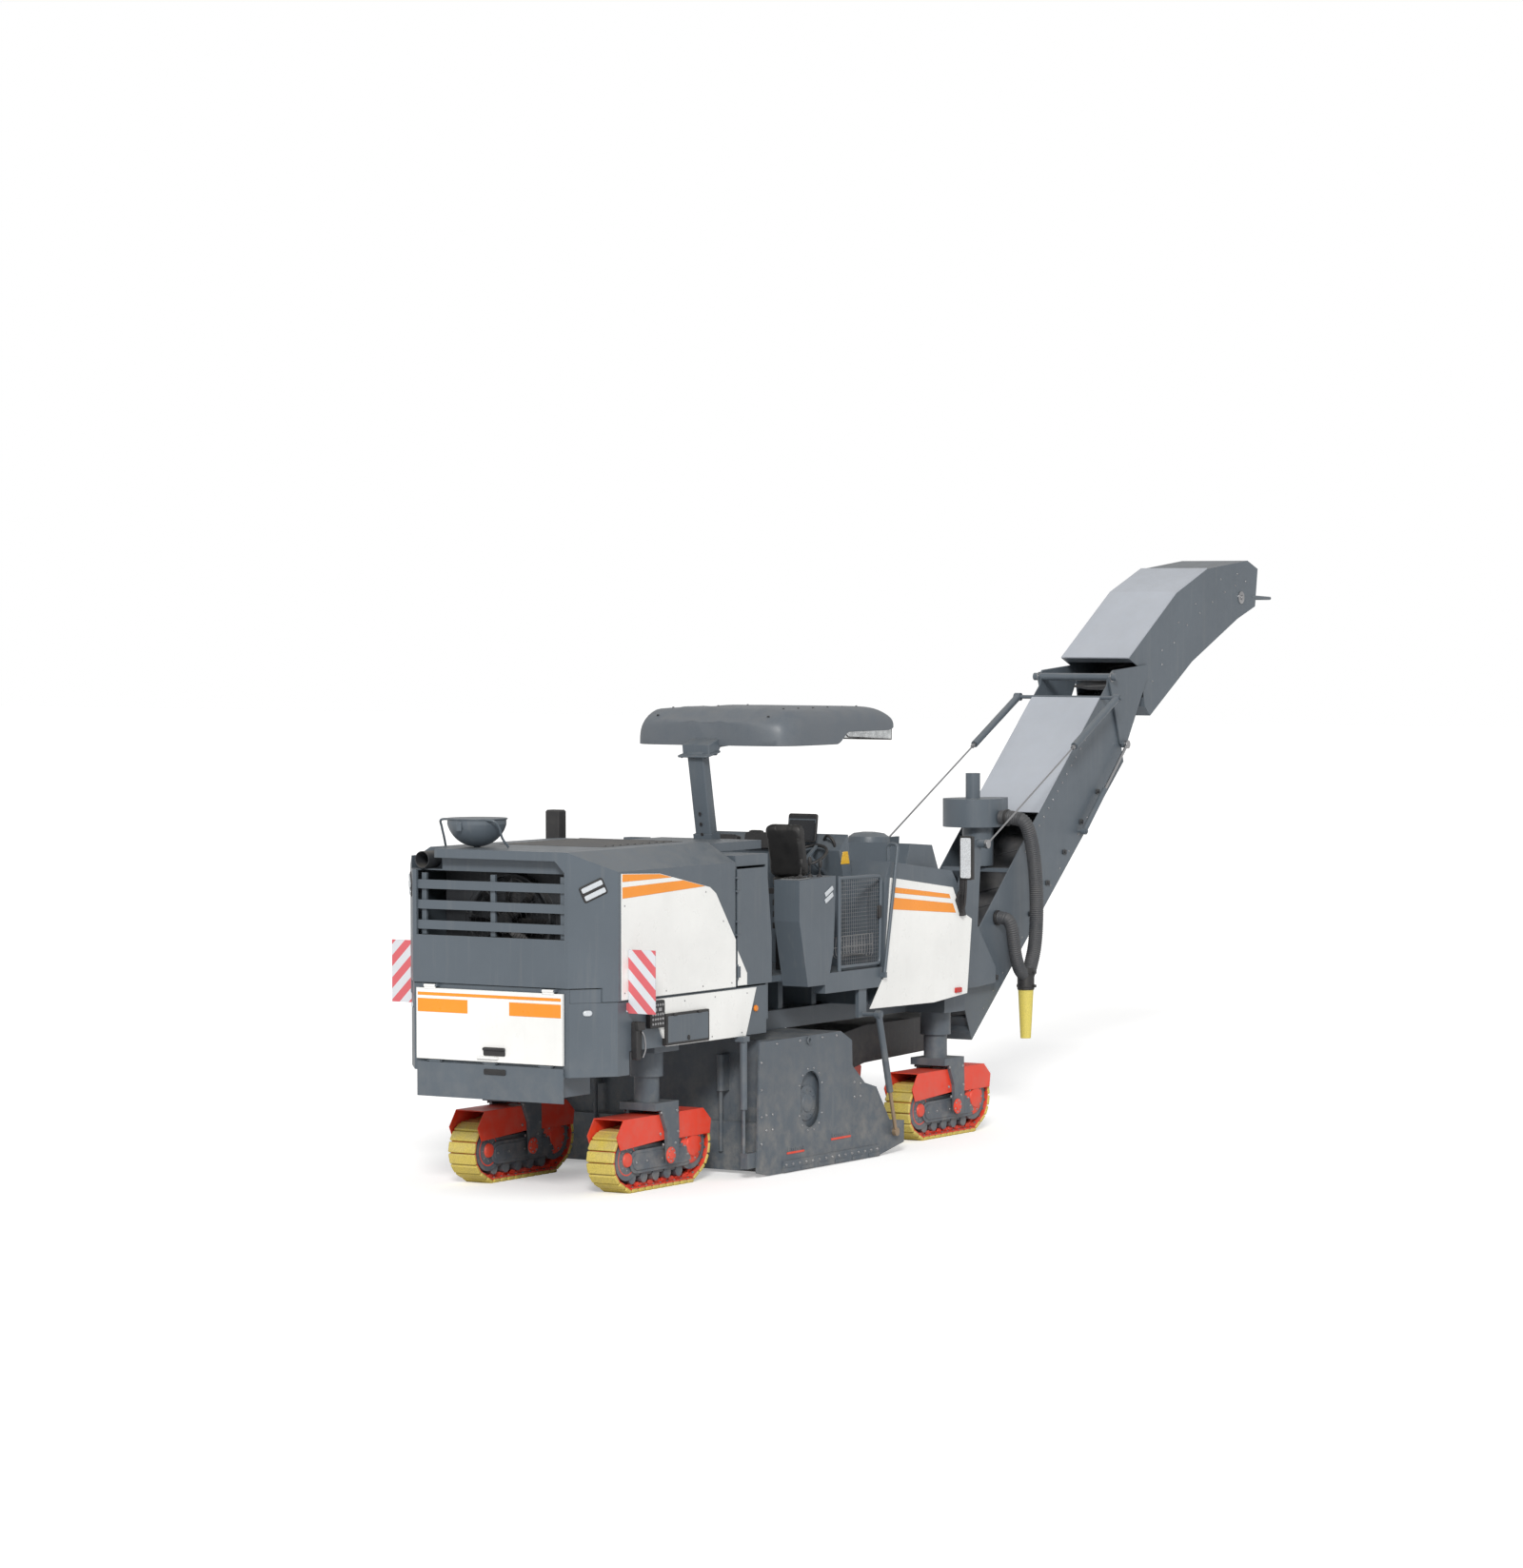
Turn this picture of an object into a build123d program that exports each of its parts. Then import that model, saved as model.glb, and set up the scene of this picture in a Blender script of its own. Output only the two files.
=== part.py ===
"""Compact cold planer: a road milling machine on four steered crawlers with a folding discharge conveyor.

Frame: +X is the direction of travel (towards the conveyor), +Y the machine's left, +Z up. The origin is on
the floor under the middle of the machine. Sizes are millimetres.
"""
import os
from math import atan2, cos, degrees, hypot, radians, sin

from build123d import *

os.makedirs("parts", exist_ok=True)

# ---------------------------------------------------------------- driving dimensions
REAR_X = -7300.0  # rear face of the body
BODY_HALF = 1130.0  # half width of the superstructure
REAR_HALF = 840.0  # half width of the flat rear face between its corner facets
FACET_LENGTH = 360.0  # length of each rear corner facet along X
ROOF_Z = 3080.0  # top of the engine hood
SHOULDER_Z = 2900.0  # where the hood's side meets its sloping shoulder
SEAM_Z = 1760.0  # lower edge of the engine hood's sides
REAR_SEAM_Z = 1885.0  # lower edge of the engine hood at the rear face
BELT_Z = 1310.0  # lower edge of the white side panels
REAR_BOTTOM_Z = 870.0  # lower edge of the rear flap
HOOD_FRONT_X = -5040.0  # front edge of the engine hood's sides
BAY_FRONT_X = -4500.0  # front of the service bays beside the platform's rear wall
DECK_Z = 1790.0  # operator's floor
DECK_BOTTOM_Z = 1600.0
DECK_FRONT_X = -2440.0
FRAME_TOP_Z = 1420.0
FRAME_BOTTOM_Z = 1240.0
SHEET = 8.0  # body sheet
PANEL = 12.0  # thickness of a bolted-on panel or door skin
GAP = 6.0  # gap round a door, lid or moving panel
SEAT_GAP = 0.3  # gap between faces that lie together on different bodies

TRACK_LENGTH = 1595.0
TRACK_HEIGHT = 640.0
TRACK_WIDTH = 300.0
TRACK_Y = 756.0  # middle of each crawler from the centre plane
REAR_AXLE_X = -5902.0
WHEELBASE = 5140.0
COLUMN_RADIUS = 115.0
COLUMN_BACK = 38.0  # steering axis behind the middle of the crawler
FIT = 0.05  # radial clearance of pins and columns
CLEAR = 6.0  # clearance between moving pieces

PLATE_Y = 1236.0  # outer face of the side plates
PLATE_THICK = 20.0
DRUM_X = -3910.0
DRUM_Z = 613.0
DRUM_RADIUS = 490.0  # over the picks
DRUM_LENGTH = 1500.0

BELT_HALF = 410.0  # half width of the discharge conveyor over its side plates
BELT_PLATE = 10.0
SLEW_X = -150.0
LIFT_X, LIFT_Z = 750.0, 1500.0  # pivot of the conveyor on its slewing frame
FOLD_X, FOLD_Z = 3430.0, 4475.0  # hinge of the folding front section

RIGHT, LEFT = -1, 1
SIDES = (("right", RIGHT), ("left", LEFT))


# ---------------------------------------------------------------- helpers for the builder blocks
def block(x, y, z, mode=Mode.ADD):
    """A box between the pairs x, y and z."""
    with Locations(((x[0] + x[1]) / 2, (y[0] + y[1]) / 2, (z[0] + z[1]) / 2)):
        Box(abs(x[1] - x[0]), abs(y[1] - y[0]), abs(z[1] - z[0]), mode=mode)


def profile_xz(points, y_low, y_high, mode=Mode.ADD, corner=0.0):
    """A side outline extruded across the machine, with its corners rounded if asked."""
    with BuildSketch(Plane.XZ.offset(-y_high)) as outline:
        with BuildLine():
            Polyline(*points, close=True)
        make_face()
        if corner:
            fillet(outline.vertices(), corner)
    extrude(outline.sketch, amount=y_high - y_low, mode=mode)


def profile_yz(points, x_low, x_high, mode=Mode.ADD):
    """A cross-section extruded along the machine."""
    with BuildSketch(Plane.YZ.offset(x_low)) as outline:
        with BuildLine():
            Polyline(*points, close=True)
        make_face()
    extrude(outline.sketch, amount=x_high - x_low, mode=mode)


def profile_xy(points, z_low, z_high, mode=Mode.ADD):
    """A plan outline extruded upwards."""
    with BuildSketch(Plane.XY.offset(z_low)) as outline:
        with BuildLine():
            Polyline(*points, close=True)
        make_face()
    extrude(outline.sketch, amount=z_high - z_low, mode=mode)


def rod_y(x, z, y_low, y_high, radius, mode=Mode.ADD):
    """A round bar along Y."""
    with BuildSketch(Plane.XZ.offset(-y_high)) as outline:
        with Locations((x, z)):
            Circle(radius)
    extrude(outline.sketch, amount=y_high - y_low, mode=mode)


def rod_z(x, y, z_low, z_high, radius, mode=Mode.ADD):
    """A round bar along Z."""
    with BuildSketch(Plane.XY.offset(z_low)) as outline:
        with Locations((x, y)):
            Circle(radius)
    extrude(outline.sketch, amount=z_high - z_low, mode=mode)


def bar(start, end, radius, mode=Mode.ADD):
    """A round bar between two points."""
    direction = Vector(*end) - Vector(*start)
    with BuildSketch(Plane(origin=start, z_dir=direction)) as outline:
        Circle(radius)
    extrude(outline.sketch, amount=direction.length, mode=mode)


def pipe(points, bend, radius, mode=Mode.ADD):
    """A round tube along straight runs joined by equal bends."""
    with BuildLine() as route:
        FilletPolyline(*points, radius=bend)
    with BuildSketch(Plane(origin=points[0], z_dir=Vector(*points[1]) - Vector(*points[0]))) as outline:
        Circle(radius)
    sweep(outline.sketch, path=route.line, mode=mode)


def finish(name, builder):
    """Label a finished piece and write it."""
    builder.part.label = name
    export_step(builder.part, f"parts/{name}.step")


# ---------------------------------------------------------------- crawlers
IDLER_R = 260.0
IDLER_Z = 300.0
SPROCKET_R = 295.0
SPROCKET_Z = TRACK_HEIGHT - SPROCKET_R
CHAIN_THICK = 42.0
PAD_THICK = 30.0
PAD_COUNT = 34
PAD_GAP = 16.0
FORK_ARM = 34.0
FORK_GAP = 12.0
PIN_X = 103.0  # pivot pin ahead of the crawler's middle
PIN_Z = 305.0
FENDER_SKIN = 8.0
FENDER_CLEAR = 22.0

LEGS = [  # name, x of the track's middle, side
    ("rear_right", REAR_AXLE_X, RIGHT),
    ("rear_left", REAR_AXLE_X, LEFT),
    ("front_right", REAR_AXLE_X + WHEELBASE, RIGHT),
    ("front_left", REAR_AXLE_X + WHEELBASE, LEFT),
]


def loop_outline(x_middle, inset):
    """The track's side outline: the hull of idler, sprocket and ground run, brought in by inset."""
    rear = x_middle - TRACK_LENGTH / 2
    front = x_middle + TRACK_LENGTH / 2
    with Locations((rear + IDLER_R, IDLER_Z)):
        Circle(IDLER_R - inset)
    with Locations((front - SPROCKET_R, SPROCKET_Z)):
        Circle(SPROCKET_R - inset)
    with Locations((rear + 290, 60 + max(inset - 50, 0)), (front - 320, 60 + max(inset - 50, 0))):
        Circle(60 - min(inset, 50))
    make_hull()


for name, x_middle, side in LEGS:
    y_middle = side * TRACK_Y
    y_low, y_high = y_middle - TRACK_WIDTH / 2, y_middle + TRACK_WIDTH / 2
    rear, front = x_middle - TRACK_LENGTH / 2, x_middle + TRACK_LENGTH / 2

    with BuildPart() as track:
        with BuildSketch(Plane.XZ.offset(-y_high)) as outer:
            loop_outline(x_middle, 0)
        run = outer.wires()[0]
        extrude(amount=TRACK_WIDTH)
        with BuildSketch(Plane.XZ.offset(-y_high)):
            loop_outline(x_middle, CHAIN_THICK + PAD_THICK)
        extrude(amount=TRACK_WIDTH, mode=Mode.SUBTRACT)
        for pad in range(PAD_COUNT):
            spot = run.position_at(pad / PAD_COUNT)
            along = run.tangent_at(pad / PAD_COUNT)
            with BuildSketch(Plane(origin=(spot.X, y_high, spot.Z), x_dir=along, z_dir=(0, -1, 0))):
                Rectangle(PAD_GAP, 2 * PAD_THICK)
            extrude(amount=TRACK_WIDTH, mode=Mode.SUBTRACT)
    finish(f"track_{name}", track)

    # column, yoke over the track, pivot pin, side frame with its rollers, idler and sprocket
    wheel_y = (y_middle - 62, y_middle + 62)
    inner_r = CHAIN_THICK + PAD_THICK + SEAT_GAP
    fork_top = TRACK_HEIGHT + 140
    column_x = x_middle - COLUMN_BACK
    with BuildPart() as leg:
        rod_z(column_x, y_middle, fork_top - 20, FRAME_BOTTOM_Z + 60, COLUMN_RADIUS)
        block(
            (column_x - 150, x_middle + 190),
            (y_low - FORK_GAP - FORK_ARM, y_high + FORK_GAP + FORK_ARM),
            (fork_top - 70, fork_top),
        )
        for arm in (-1, 1):
            inner = y_middle + arm * (TRACK_WIDTH / 2 + FORK_GAP)
            outer_y = inner + arm * FORK_ARM
            profile_xz(
                [
                    (column_x - 60, fork_top - 70),
                    (x_middle + 190, fork_top - 70),
                    (x_middle + 200, TRACK_HEIGHT - 130),
                    (x_middle + PIN_X + 80, PIN_Z - 90),
                    (x_middle + PIN_X - 80, PIN_Z - 90),
                    (x_middle, TRACK_HEIGHT - 130),
                ],
                min(inner, outer_y),
                max(inner, outer_y),
            )
        rod_y(x_middle + PIN_X, PIN_Z, y_low - FORK_GAP - FORK_ARM, y_high + FORK_GAP + FORK_ARM, 60)
        profile_xz(
            [
                (rear + IDLER_R - 60, 250),
                (rear + 380, 140),
                (front - 430, 140),
                (front - SPROCKET_R + 40, 280),
                (front - SPROCKET_R + 40, 420),
                (rear + IDLER_R - 60, 400),
            ],
            wheel_y[0] - 40,
            wheel_y[1] + 40,
        )
        rod_y(rear + IDLER_R, IDLER_Z, y_low + 30, y_high - 30, IDLER_R - inner_r)
        rod_y(front - SPROCKET_R, SPROCKET_Z, y_low + 30, y_high - 30, SPROCKET_R - inner_r)
        for roller in range(5):
            rod_y(rear + 360 + roller * 190, inner_r + 56, y_low + 40, y_high - 40, 56)
    finish(f"leg_{name}", leg)

    # fender: two hoods over the track, ahead of the fork and behind it
    skin_out = TRACK_HEIGHT + FENDER_CLEAR + FENDER_SKIN
    with BuildPart() as fender:
        skin_y = FORK_GAP - SEAT_GAP
        for start, end in ((rear + 40, x_middle + 40), (x_middle + 150, front - 20)):
            if start < x_middle:
                shape = [(start + 110, skin_out), (end, skin_out), (end, 440), (start + 60, 400), (start, 520)]
            else:
                shape = [(start, skin_out), (end - 130, skin_out), (end, 560), (end - 20, 430), (start, 430)]
            profile_xz(shape, y_low - skin_y, y_high + skin_y)
        block(
            (rear - 100, front + 100),
            (y_low - skin_y + FENDER_SKIN, y_high + skin_y - FENDER_SKIN),
            (0, TRACK_HEIGHT + FENDER_CLEAR),
            mode=Mode.SUBTRACT,
        )
    finish(f"fender_{name}", fender)

# ---------------------------------------------------------------- main frame
LOWER_FRONT_X = -6760.0
CHASSIS_FRONT_X = -570.0
KING_POST_R = 40.0
with BuildPart() as chassis:
    block((LOWER_FRONT_X, CHASSIS_FRONT_X), (-560, 560), (FRAME_BOTTOM_Z, FRAME_TOP_Z))
    for name, x_middle, side in LEGS:
        column_x = x_middle - COLUMN_BACK
        block((column_x - 240, column_x + 160), (side * 500, side * 1000), (FRAME_BOTTOM_Z, FRAME_TOP_Z))
        rod_z(column_x, side * TRACK_Y, 1010, FRAME_TOP_Z, COLUMN_RADIUS + 35)
        rod_z(column_x, side * TRACK_Y, 900, FRAME_BOTTOM_Z + 80, COLUMN_RADIUS + FIT, mode=Mode.SUBTRACT)
    # slewing lugs on the front beam
    for z_low, z_high in ((1250, 1290), (1640, 1680)):
        block((-600, SLEW_X), (-90, 90), (z_low, z_high))
        rod_z(SLEW_X, 0, z_low, z_high, 90)
        rod_z(SLEW_X, 0, z_low - 5, z_high + 5, KING_POST_R + FIT, mode=Mode.SUBTRACT)
    block((-650, -570), (-90, 90), (FRAME_BOTTOM_Z, 1680))
finish("chassis_frame", chassis)

with BuildPart() as engine:
    block((-6500, -5250), (-420, 420), (FRAME_TOP_Z, 2450))
finish("engine_block", engine)

with BuildPart() as radiator:
    block((-6900, -6700), (-760, 760), (1900, 2900))
    block((-6870, LOWER_FRONT_X - 10), (-500, 500), (SEAM_Z - GAP, 1900))
    with BuildSketch(Plane.YZ.offset(-6990)):
        with Locations((0, 2420)):
            Circle(440)
            Circle(420, mode=Mode.SUBTRACT)
    extrude(amount=90)
    with BuildSketch(Plane.YZ.offset(-6965)):
        with Locations((0, 2420)):
            Circle(60)
    extrude(amount=65)
    with BuildSketch(Plane.YZ.offset(-7000)):
        with Locations((0, 2420)):
            Circle(20)
    extrude(amount=60)
finish("radiator", radiator)

FAN_X, FAN_Z, FAN_R = -6990.0, 2420.0, 400.0
with BuildPart() as fan:
    with BuildSketch(Plane.YZ.offset(FAN_X - 50)):
        with Locations((0, FAN_Z)):
            Circle(90)
            Circle(20 + FIT, mode=Mode.SUBTRACT)
    extrude(amount=70)
    for blade in range(8):
        turn = radians(45 * blade)
        root = Vector(FAN_X - 30, 70 * cos(turn), FAN_Z + 70 * sin(turn))
        outward = Vector(0, cos(turn), sin(turn))
        twist = outward.cross(Vector(1, 0, 0)) * 0.8 + Vector(0.6, 0, 0)
        with BuildSketch(Plane(origin=root, x_dir=twist, z_dir=outward)):
            Rectangle(110, 5)
        extrude(amount=FAN_R - 70)
finish("cooling_fan", fan)

# ---------------------------------------------------------------- engine hood
SHOULDER_IN = 300.0


def hood_plan(inset, front_x):
    """The hood's plan, brought in by inset at the sides and the rear."""
    return [
        (REAR_X + inset, -REAR_HALF + inset / 2),
        (REAR_X + FACET_LENGTH + inset / 2, -BODY_HALF + inset),
        (front_x, -BODY_HALF + inset),
        (front_x, BODY_HALF - inset),
        (REAR_X + FACET_LENGTH + inset / 2, BODY_HALF - inset),
        (REAR_X + inset, REAR_HALF - inset / 2),
    ]


HINGE_X, HINGE_Z = -5018.0, 3052.0  # engine hood hinge
with BuildPart() as hood:
    profile_xy(hood_plan(0, HOOD_FRONT_X), SEAM_Z, ROOF_Z)
    for side in (-1, 1):
        edge = [
            (side * (BODY_HALF + 5), SHOULDER_Z),
            (side * (BODY_HALF - SHOULDER_IN), ROOF_Z + 1),
            (side * (BODY_HALF + 5), ROOF_Z + 1),
        ]
        profile_yz(edge, REAR_X - 10, HOOD_FRONT_X + 10, mode=Mode.SUBTRACT)
    block((REAR_X - 10, REAR_X + 250), (-2000, 2000), (SEAM_Z - 10, REAR_SEAM_Z), mode=Mode.SUBTRACT)
    # hollow inside, open underneath
    profile_xy(hood_plan(30, HOOD_FRONT_X + 10), SEAM_Z - 1, SHOULDER_Z - 20, mode=Mode.SUBTRACT)
    profile_yz(
        [
            (-(BODY_HALF - 30), SHOULDER_Z - 25),
            (-(BODY_HALF - SHOULDER_IN), ROOF_Z - 30),
            (BODY_HALF - SHOULDER_IN, ROOF_Z - 30),
            (BODY_HALF - 30, SHOULDER_Z - 25),
        ],
        REAR_X + FACET_LENGTH + 20,
        HOOD_FRONT_X + 10,
        mode=Mode.SUBTRACT,
    )
    # cooling air opening across the rear face
    profile_yz(
        [(-800, 2310), (-800, 2900), (-700, 3000), (700, 3000), (800, 2900), (800, 2310)],
        REAR_X - 20,
        REAR_X + 120,
        mode=Mode.SUBTRACT,
    )
    # recess for the exhaust
    block((REAR_X - 10, REAR_X + 260), (600, 960), (2892, ROOF_Z + 10), mode=Mode.SUBTRACT)
    # hinge knuckles
    for side in (-1, 1):
        rod_y(HINGE_X, HINGE_Z, min(side * 505, side * 560), max(side * 505, side * 560), 14)
        block((HOOD_FRONT_X - 10, HINGE_X), (side * 505, side * 560), (HINGE_Z - 12, HINGE_Z + 14))
    rod_y(HINGE_X, HINGE_Z, -600, 600, 7 + FIT, mode=Mode.SUBTRACT)
finish("engine_hood", hood)

with BuildPart() as louvres:
    for z_low, z_high in ((2360, 2440), (2540, 2620), (2720, 2800)):
        block((REAR_X + 20, REAR_X + 50), (-800 + SEAT_GAP, 800 - SEAT_GAP), (z_low, z_high))
    for y in (-750, 0, 750):
        block((REAR_X + 50, REAR_X + 80), (y - 25, y + 25), (2312, 2860))
finish("rear_louvres", louvres)

with BuildPart() as hood_panels:
    for side in (-1, 1):
        outer_y = side * (BODY_HALF + PANEL)
        profile_xz(
            [
                (-6900, SEAM_Z + 10),
                (-6900, 2885),
                (-6300, 2860),
                (-5480, 2700),
                (-5380, 2640),
                (HOOD_FRONT_X - 10, 2200),
                (HOOD_FRONT_X - 10, SEAM_Z + 10),
            ],
            min(side * BODY_HALF, outer_y),
            max(side * BODY_HALF, outer_y),
        )
finish("hood_side_panels", hood_panels)

with BuildPart() as exhaust:
    for radius, mode in ((76, Mode.ADD), (70, Mode.SUBTRACT)):
        with BuildSketch(Plane.YZ.offset(REAR_X + 60)):
            with Locations((780, 2974)):
                Circle(radius)
        extrude(amount=200, mode=mode)
finish("exhaust_pipe", exhaust)

BOWL_X, BOWL_Y, BOWL_Z = -6900.0, 420.0, 3330.0
with BuildPart() as bowl:
    with BuildSketch(Plane.XZ.offset(-BOWL_Y)):
        with BuildLine():
            Line((BOWL_X, BOWL_Z), (BOWL_X + 265, BOWL_Z))
            Line((BOWL_X + 265, BOWL_Z), (BOWL_X + 265, BOWL_Z - 40))
            ThreePointArc((BOWL_X + 265, BOWL_Z - 40), (BOWL_X + 185, BOWL_Z - 175), (BOWL_X, BOWL_Z - 245))
            Line((BOWL_X, BOWL_Z - 245), (BOWL_X, BOWL_Z))
        make_face()
    revolve(axis=Axis((BOWL_X, BOWL_Y, 0), (0, 0, 1)))
    rod_z(BOWL_X, BOWL_Y, ROOF_Z, BOWL_Z - 230, 30)
finish("strobe_bowl", bowl)

# ---------------------------------------------------------------- lower rear body
DOOR_PIN = (REAR_X - 20, 1860.0)
FLAP_PIN = (REAR_X - 4, 1191.0)
RAM_X, RAM_Y = -4960.0, 1165.0  # upright rams of the side plates
with BuildPart() as rear_body:
    profile_xy(
        [
            (REAR_X + 20, -REAR_HALF),
            (REAR_X + FACET_LENGTH, -BODY_HALF + 10),
            (LOWER_FRONT_X, -BODY_HALF + 10),
            (LOWER_FRONT_X, BODY_HALF - 10),
            (REAR_X + FACET_LENGTH, BODY_HALF - 10),
            (REAR_X + 20, REAR_HALF),
        ],
        1100,
        SEAM_Z - GAP,
    )
    block((REAR_X + 20, LOWER_FRONT_X), (-700, 700), (REAR_BOTTOM_Z + 40, 1100))
    block((REAR_X + 20, REAR_X + 120), (-REAR_HALF, REAR_HALF), (1700, REAR_SEAM_Z - GAP))
    block((REAR_X + 420, LOWER_FRONT_X - 12), (-1100, 1100), (1115, 1742), mode=Mode.SUBTRACT)
    # compartment behind the rear door
    block((REAR_X, REAR_X + 400), (-680, 680), (1230, 1810), mode=Mode.SUBTRACT)
    # side walls back to the service bays, on a shelf over the frame
    for side in (-1, 1):
        inner, outer_y = side * (BODY_HALF - 30), side * (BODY_HALF - 10)
        block((LOWER_FRONT_X, BAY_FRONT_X), (inner, outer_y), (BELT_Z, SEAM_Z - GAP))
        block((LOWER_FRONT_X, BAY_FRONT_X), (side * 430, outer_y), (FRAME_TOP_Z, FRAME_TOP_Z + 12))
        # ram over the rear end of the side plate
        block((RAM_X - 50, RAM_X + 50), (side * 1100, side * 1200), (1262, BELT_Z))
        rod_z(RAM_X, side * RAM_Y, 640, 1262, 34)
        rod_z(RAM_X, side * RAM_Y, 600, 1240, 17 + FIT, mode=Mode.SUBTRACT)
    # hinges of the rear door and flap
    for y in (-640, 640):
        rod_y(*DOOR_PIN, y - 80, y + 80, 8)
        for lug in (y - 80, y + 65):
            block((DOOR_PIN[0] - 8, REAR_X + 30), (lug, lug + 15), (DOOR_PIN[1] - 8, REAR_SEAM_Z - GAP))
    for y in (-600, 0, 600):
        rod_y(*FLAP_PIN, y - 80, y + 80, 5)
        for lug in (y - 80, y + 65):
            block((FLAP_PIN[0] - 5, REAR_X + 30), (lug, lug + 15), (FLAP_PIN[1] - 5, FLAP_PIN[1] + 5))
finish("rear_body", rear_body)

with BuildPart() as rear_door:
    block((REAR_X - PANEL - 8, REAR_X + 10), (-REAR_HALF + 50, REAR_HALF - 50), (1206, 1838))
    for y in (-640, 640):
        rod_y(*DOOR_PIN, y - 60, y + 60, 14)
        block((DOOR_PIN[0] - 6, DOOR_PIN[0] + 6), (y - 60, y + 60), (1830, DOOR_PIN[1]))
        rod_y(*DOOR_PIN, y - 90, y + 90, 8 + FIT, mode=Mode.SUBTRACT)
    block((REAR_X - 50, REAR_X - 20), (-110, 110), (1235, 1255))
finish("rear_door", rear_door)

with BuildPart() as rear_flap:
    block((REAR_X - 12, REAR_X + 4), (-REAR_HALF + 50, REAR_HALF - 50), (REAR_BOTTOM_Z, 1178))
    for y in (-600, 0, 600):
        rod_y(*FLAP_PIN, y - 60, y + 60, 10)
        block((FLAP_PIN[0] - 5, FLAP_PIN[0] + 5), (y - 60, y + 60), (1170, FLAP_PIN[1]))
        rod_y(*FLAP_PIN, y - 90, y + 90, 5 + FIT, mode=Mode.SUBTRACT)
finish("rear_flap", rear_flap)

with BuildPart() as side_panels:
    for side in (-1, 1):
        base = side * (BODY_HALF - 10)
        outer_y = side * (BODY_HALF + PANEL)
        profile_xz(
            [(-6480, SEAM_Z - 16), (-6180, BELT_Z), (-4880, BELT_Z), (-4700, SEAM_Z - 16)],
            min(base, outer_y),
            max(base, outer_y),
        )
        hood_face = side * BODY_HALF
        profile_xz(
            [
                (-2300, 2636),
                (-1120, 2487),
                (-970, 2247),
                (-750, 2160),
                (-840, 1433),
                (-1490, 1384),
                (-2680, 1403),
                (-2420, 1700),
            ],
            min(hood_face, outer_y),
            max(hood_face, outer_y),
        )
finish("side_panels", side_panels)

# service doors in front of the engine hood
BAY_HINGE_X = -5010.0
BAY_HINGE_Y = BODY_HALF + 8
for name, side in SIDES:
    base, outer_y = side * (BODY_HALF - PANEL), side * BODY_HALF
    with BuildPart() as service_door:
        profile_xz(
            [
                (BAY_HINGE_X + 6, SEAM_Z + 10),
                (BAY_HINGE_X + 6, 2840),
                (BAY_FRONT_X, 2840),
                (BAY_FRONT_X + 80, 2180),
                (BAY_FRONT_X + 80, SEAM_Z + 10),
            ],
            min(base, outer_y),
            max(base, outer_y),
        )
        for z in (1900, 2300, 2700):
            rod_z(BAY_HINGE_X, side * BAY_HINGE_Y, z - 50, z + 50, 9)
            block((BAY_HINGE_X, BAY_HINGE_X + 50), (outer_y, outer_y + side * 6), (z - 50, z + 50))
            rod_z(BAY_HINGE_X, side * BAY_HINGE_Y, z - 55, z + 55, 5 + FIT, mode=Mode.SUBTRACT)
    finish(f"service_door_{name}", service_door)

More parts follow.
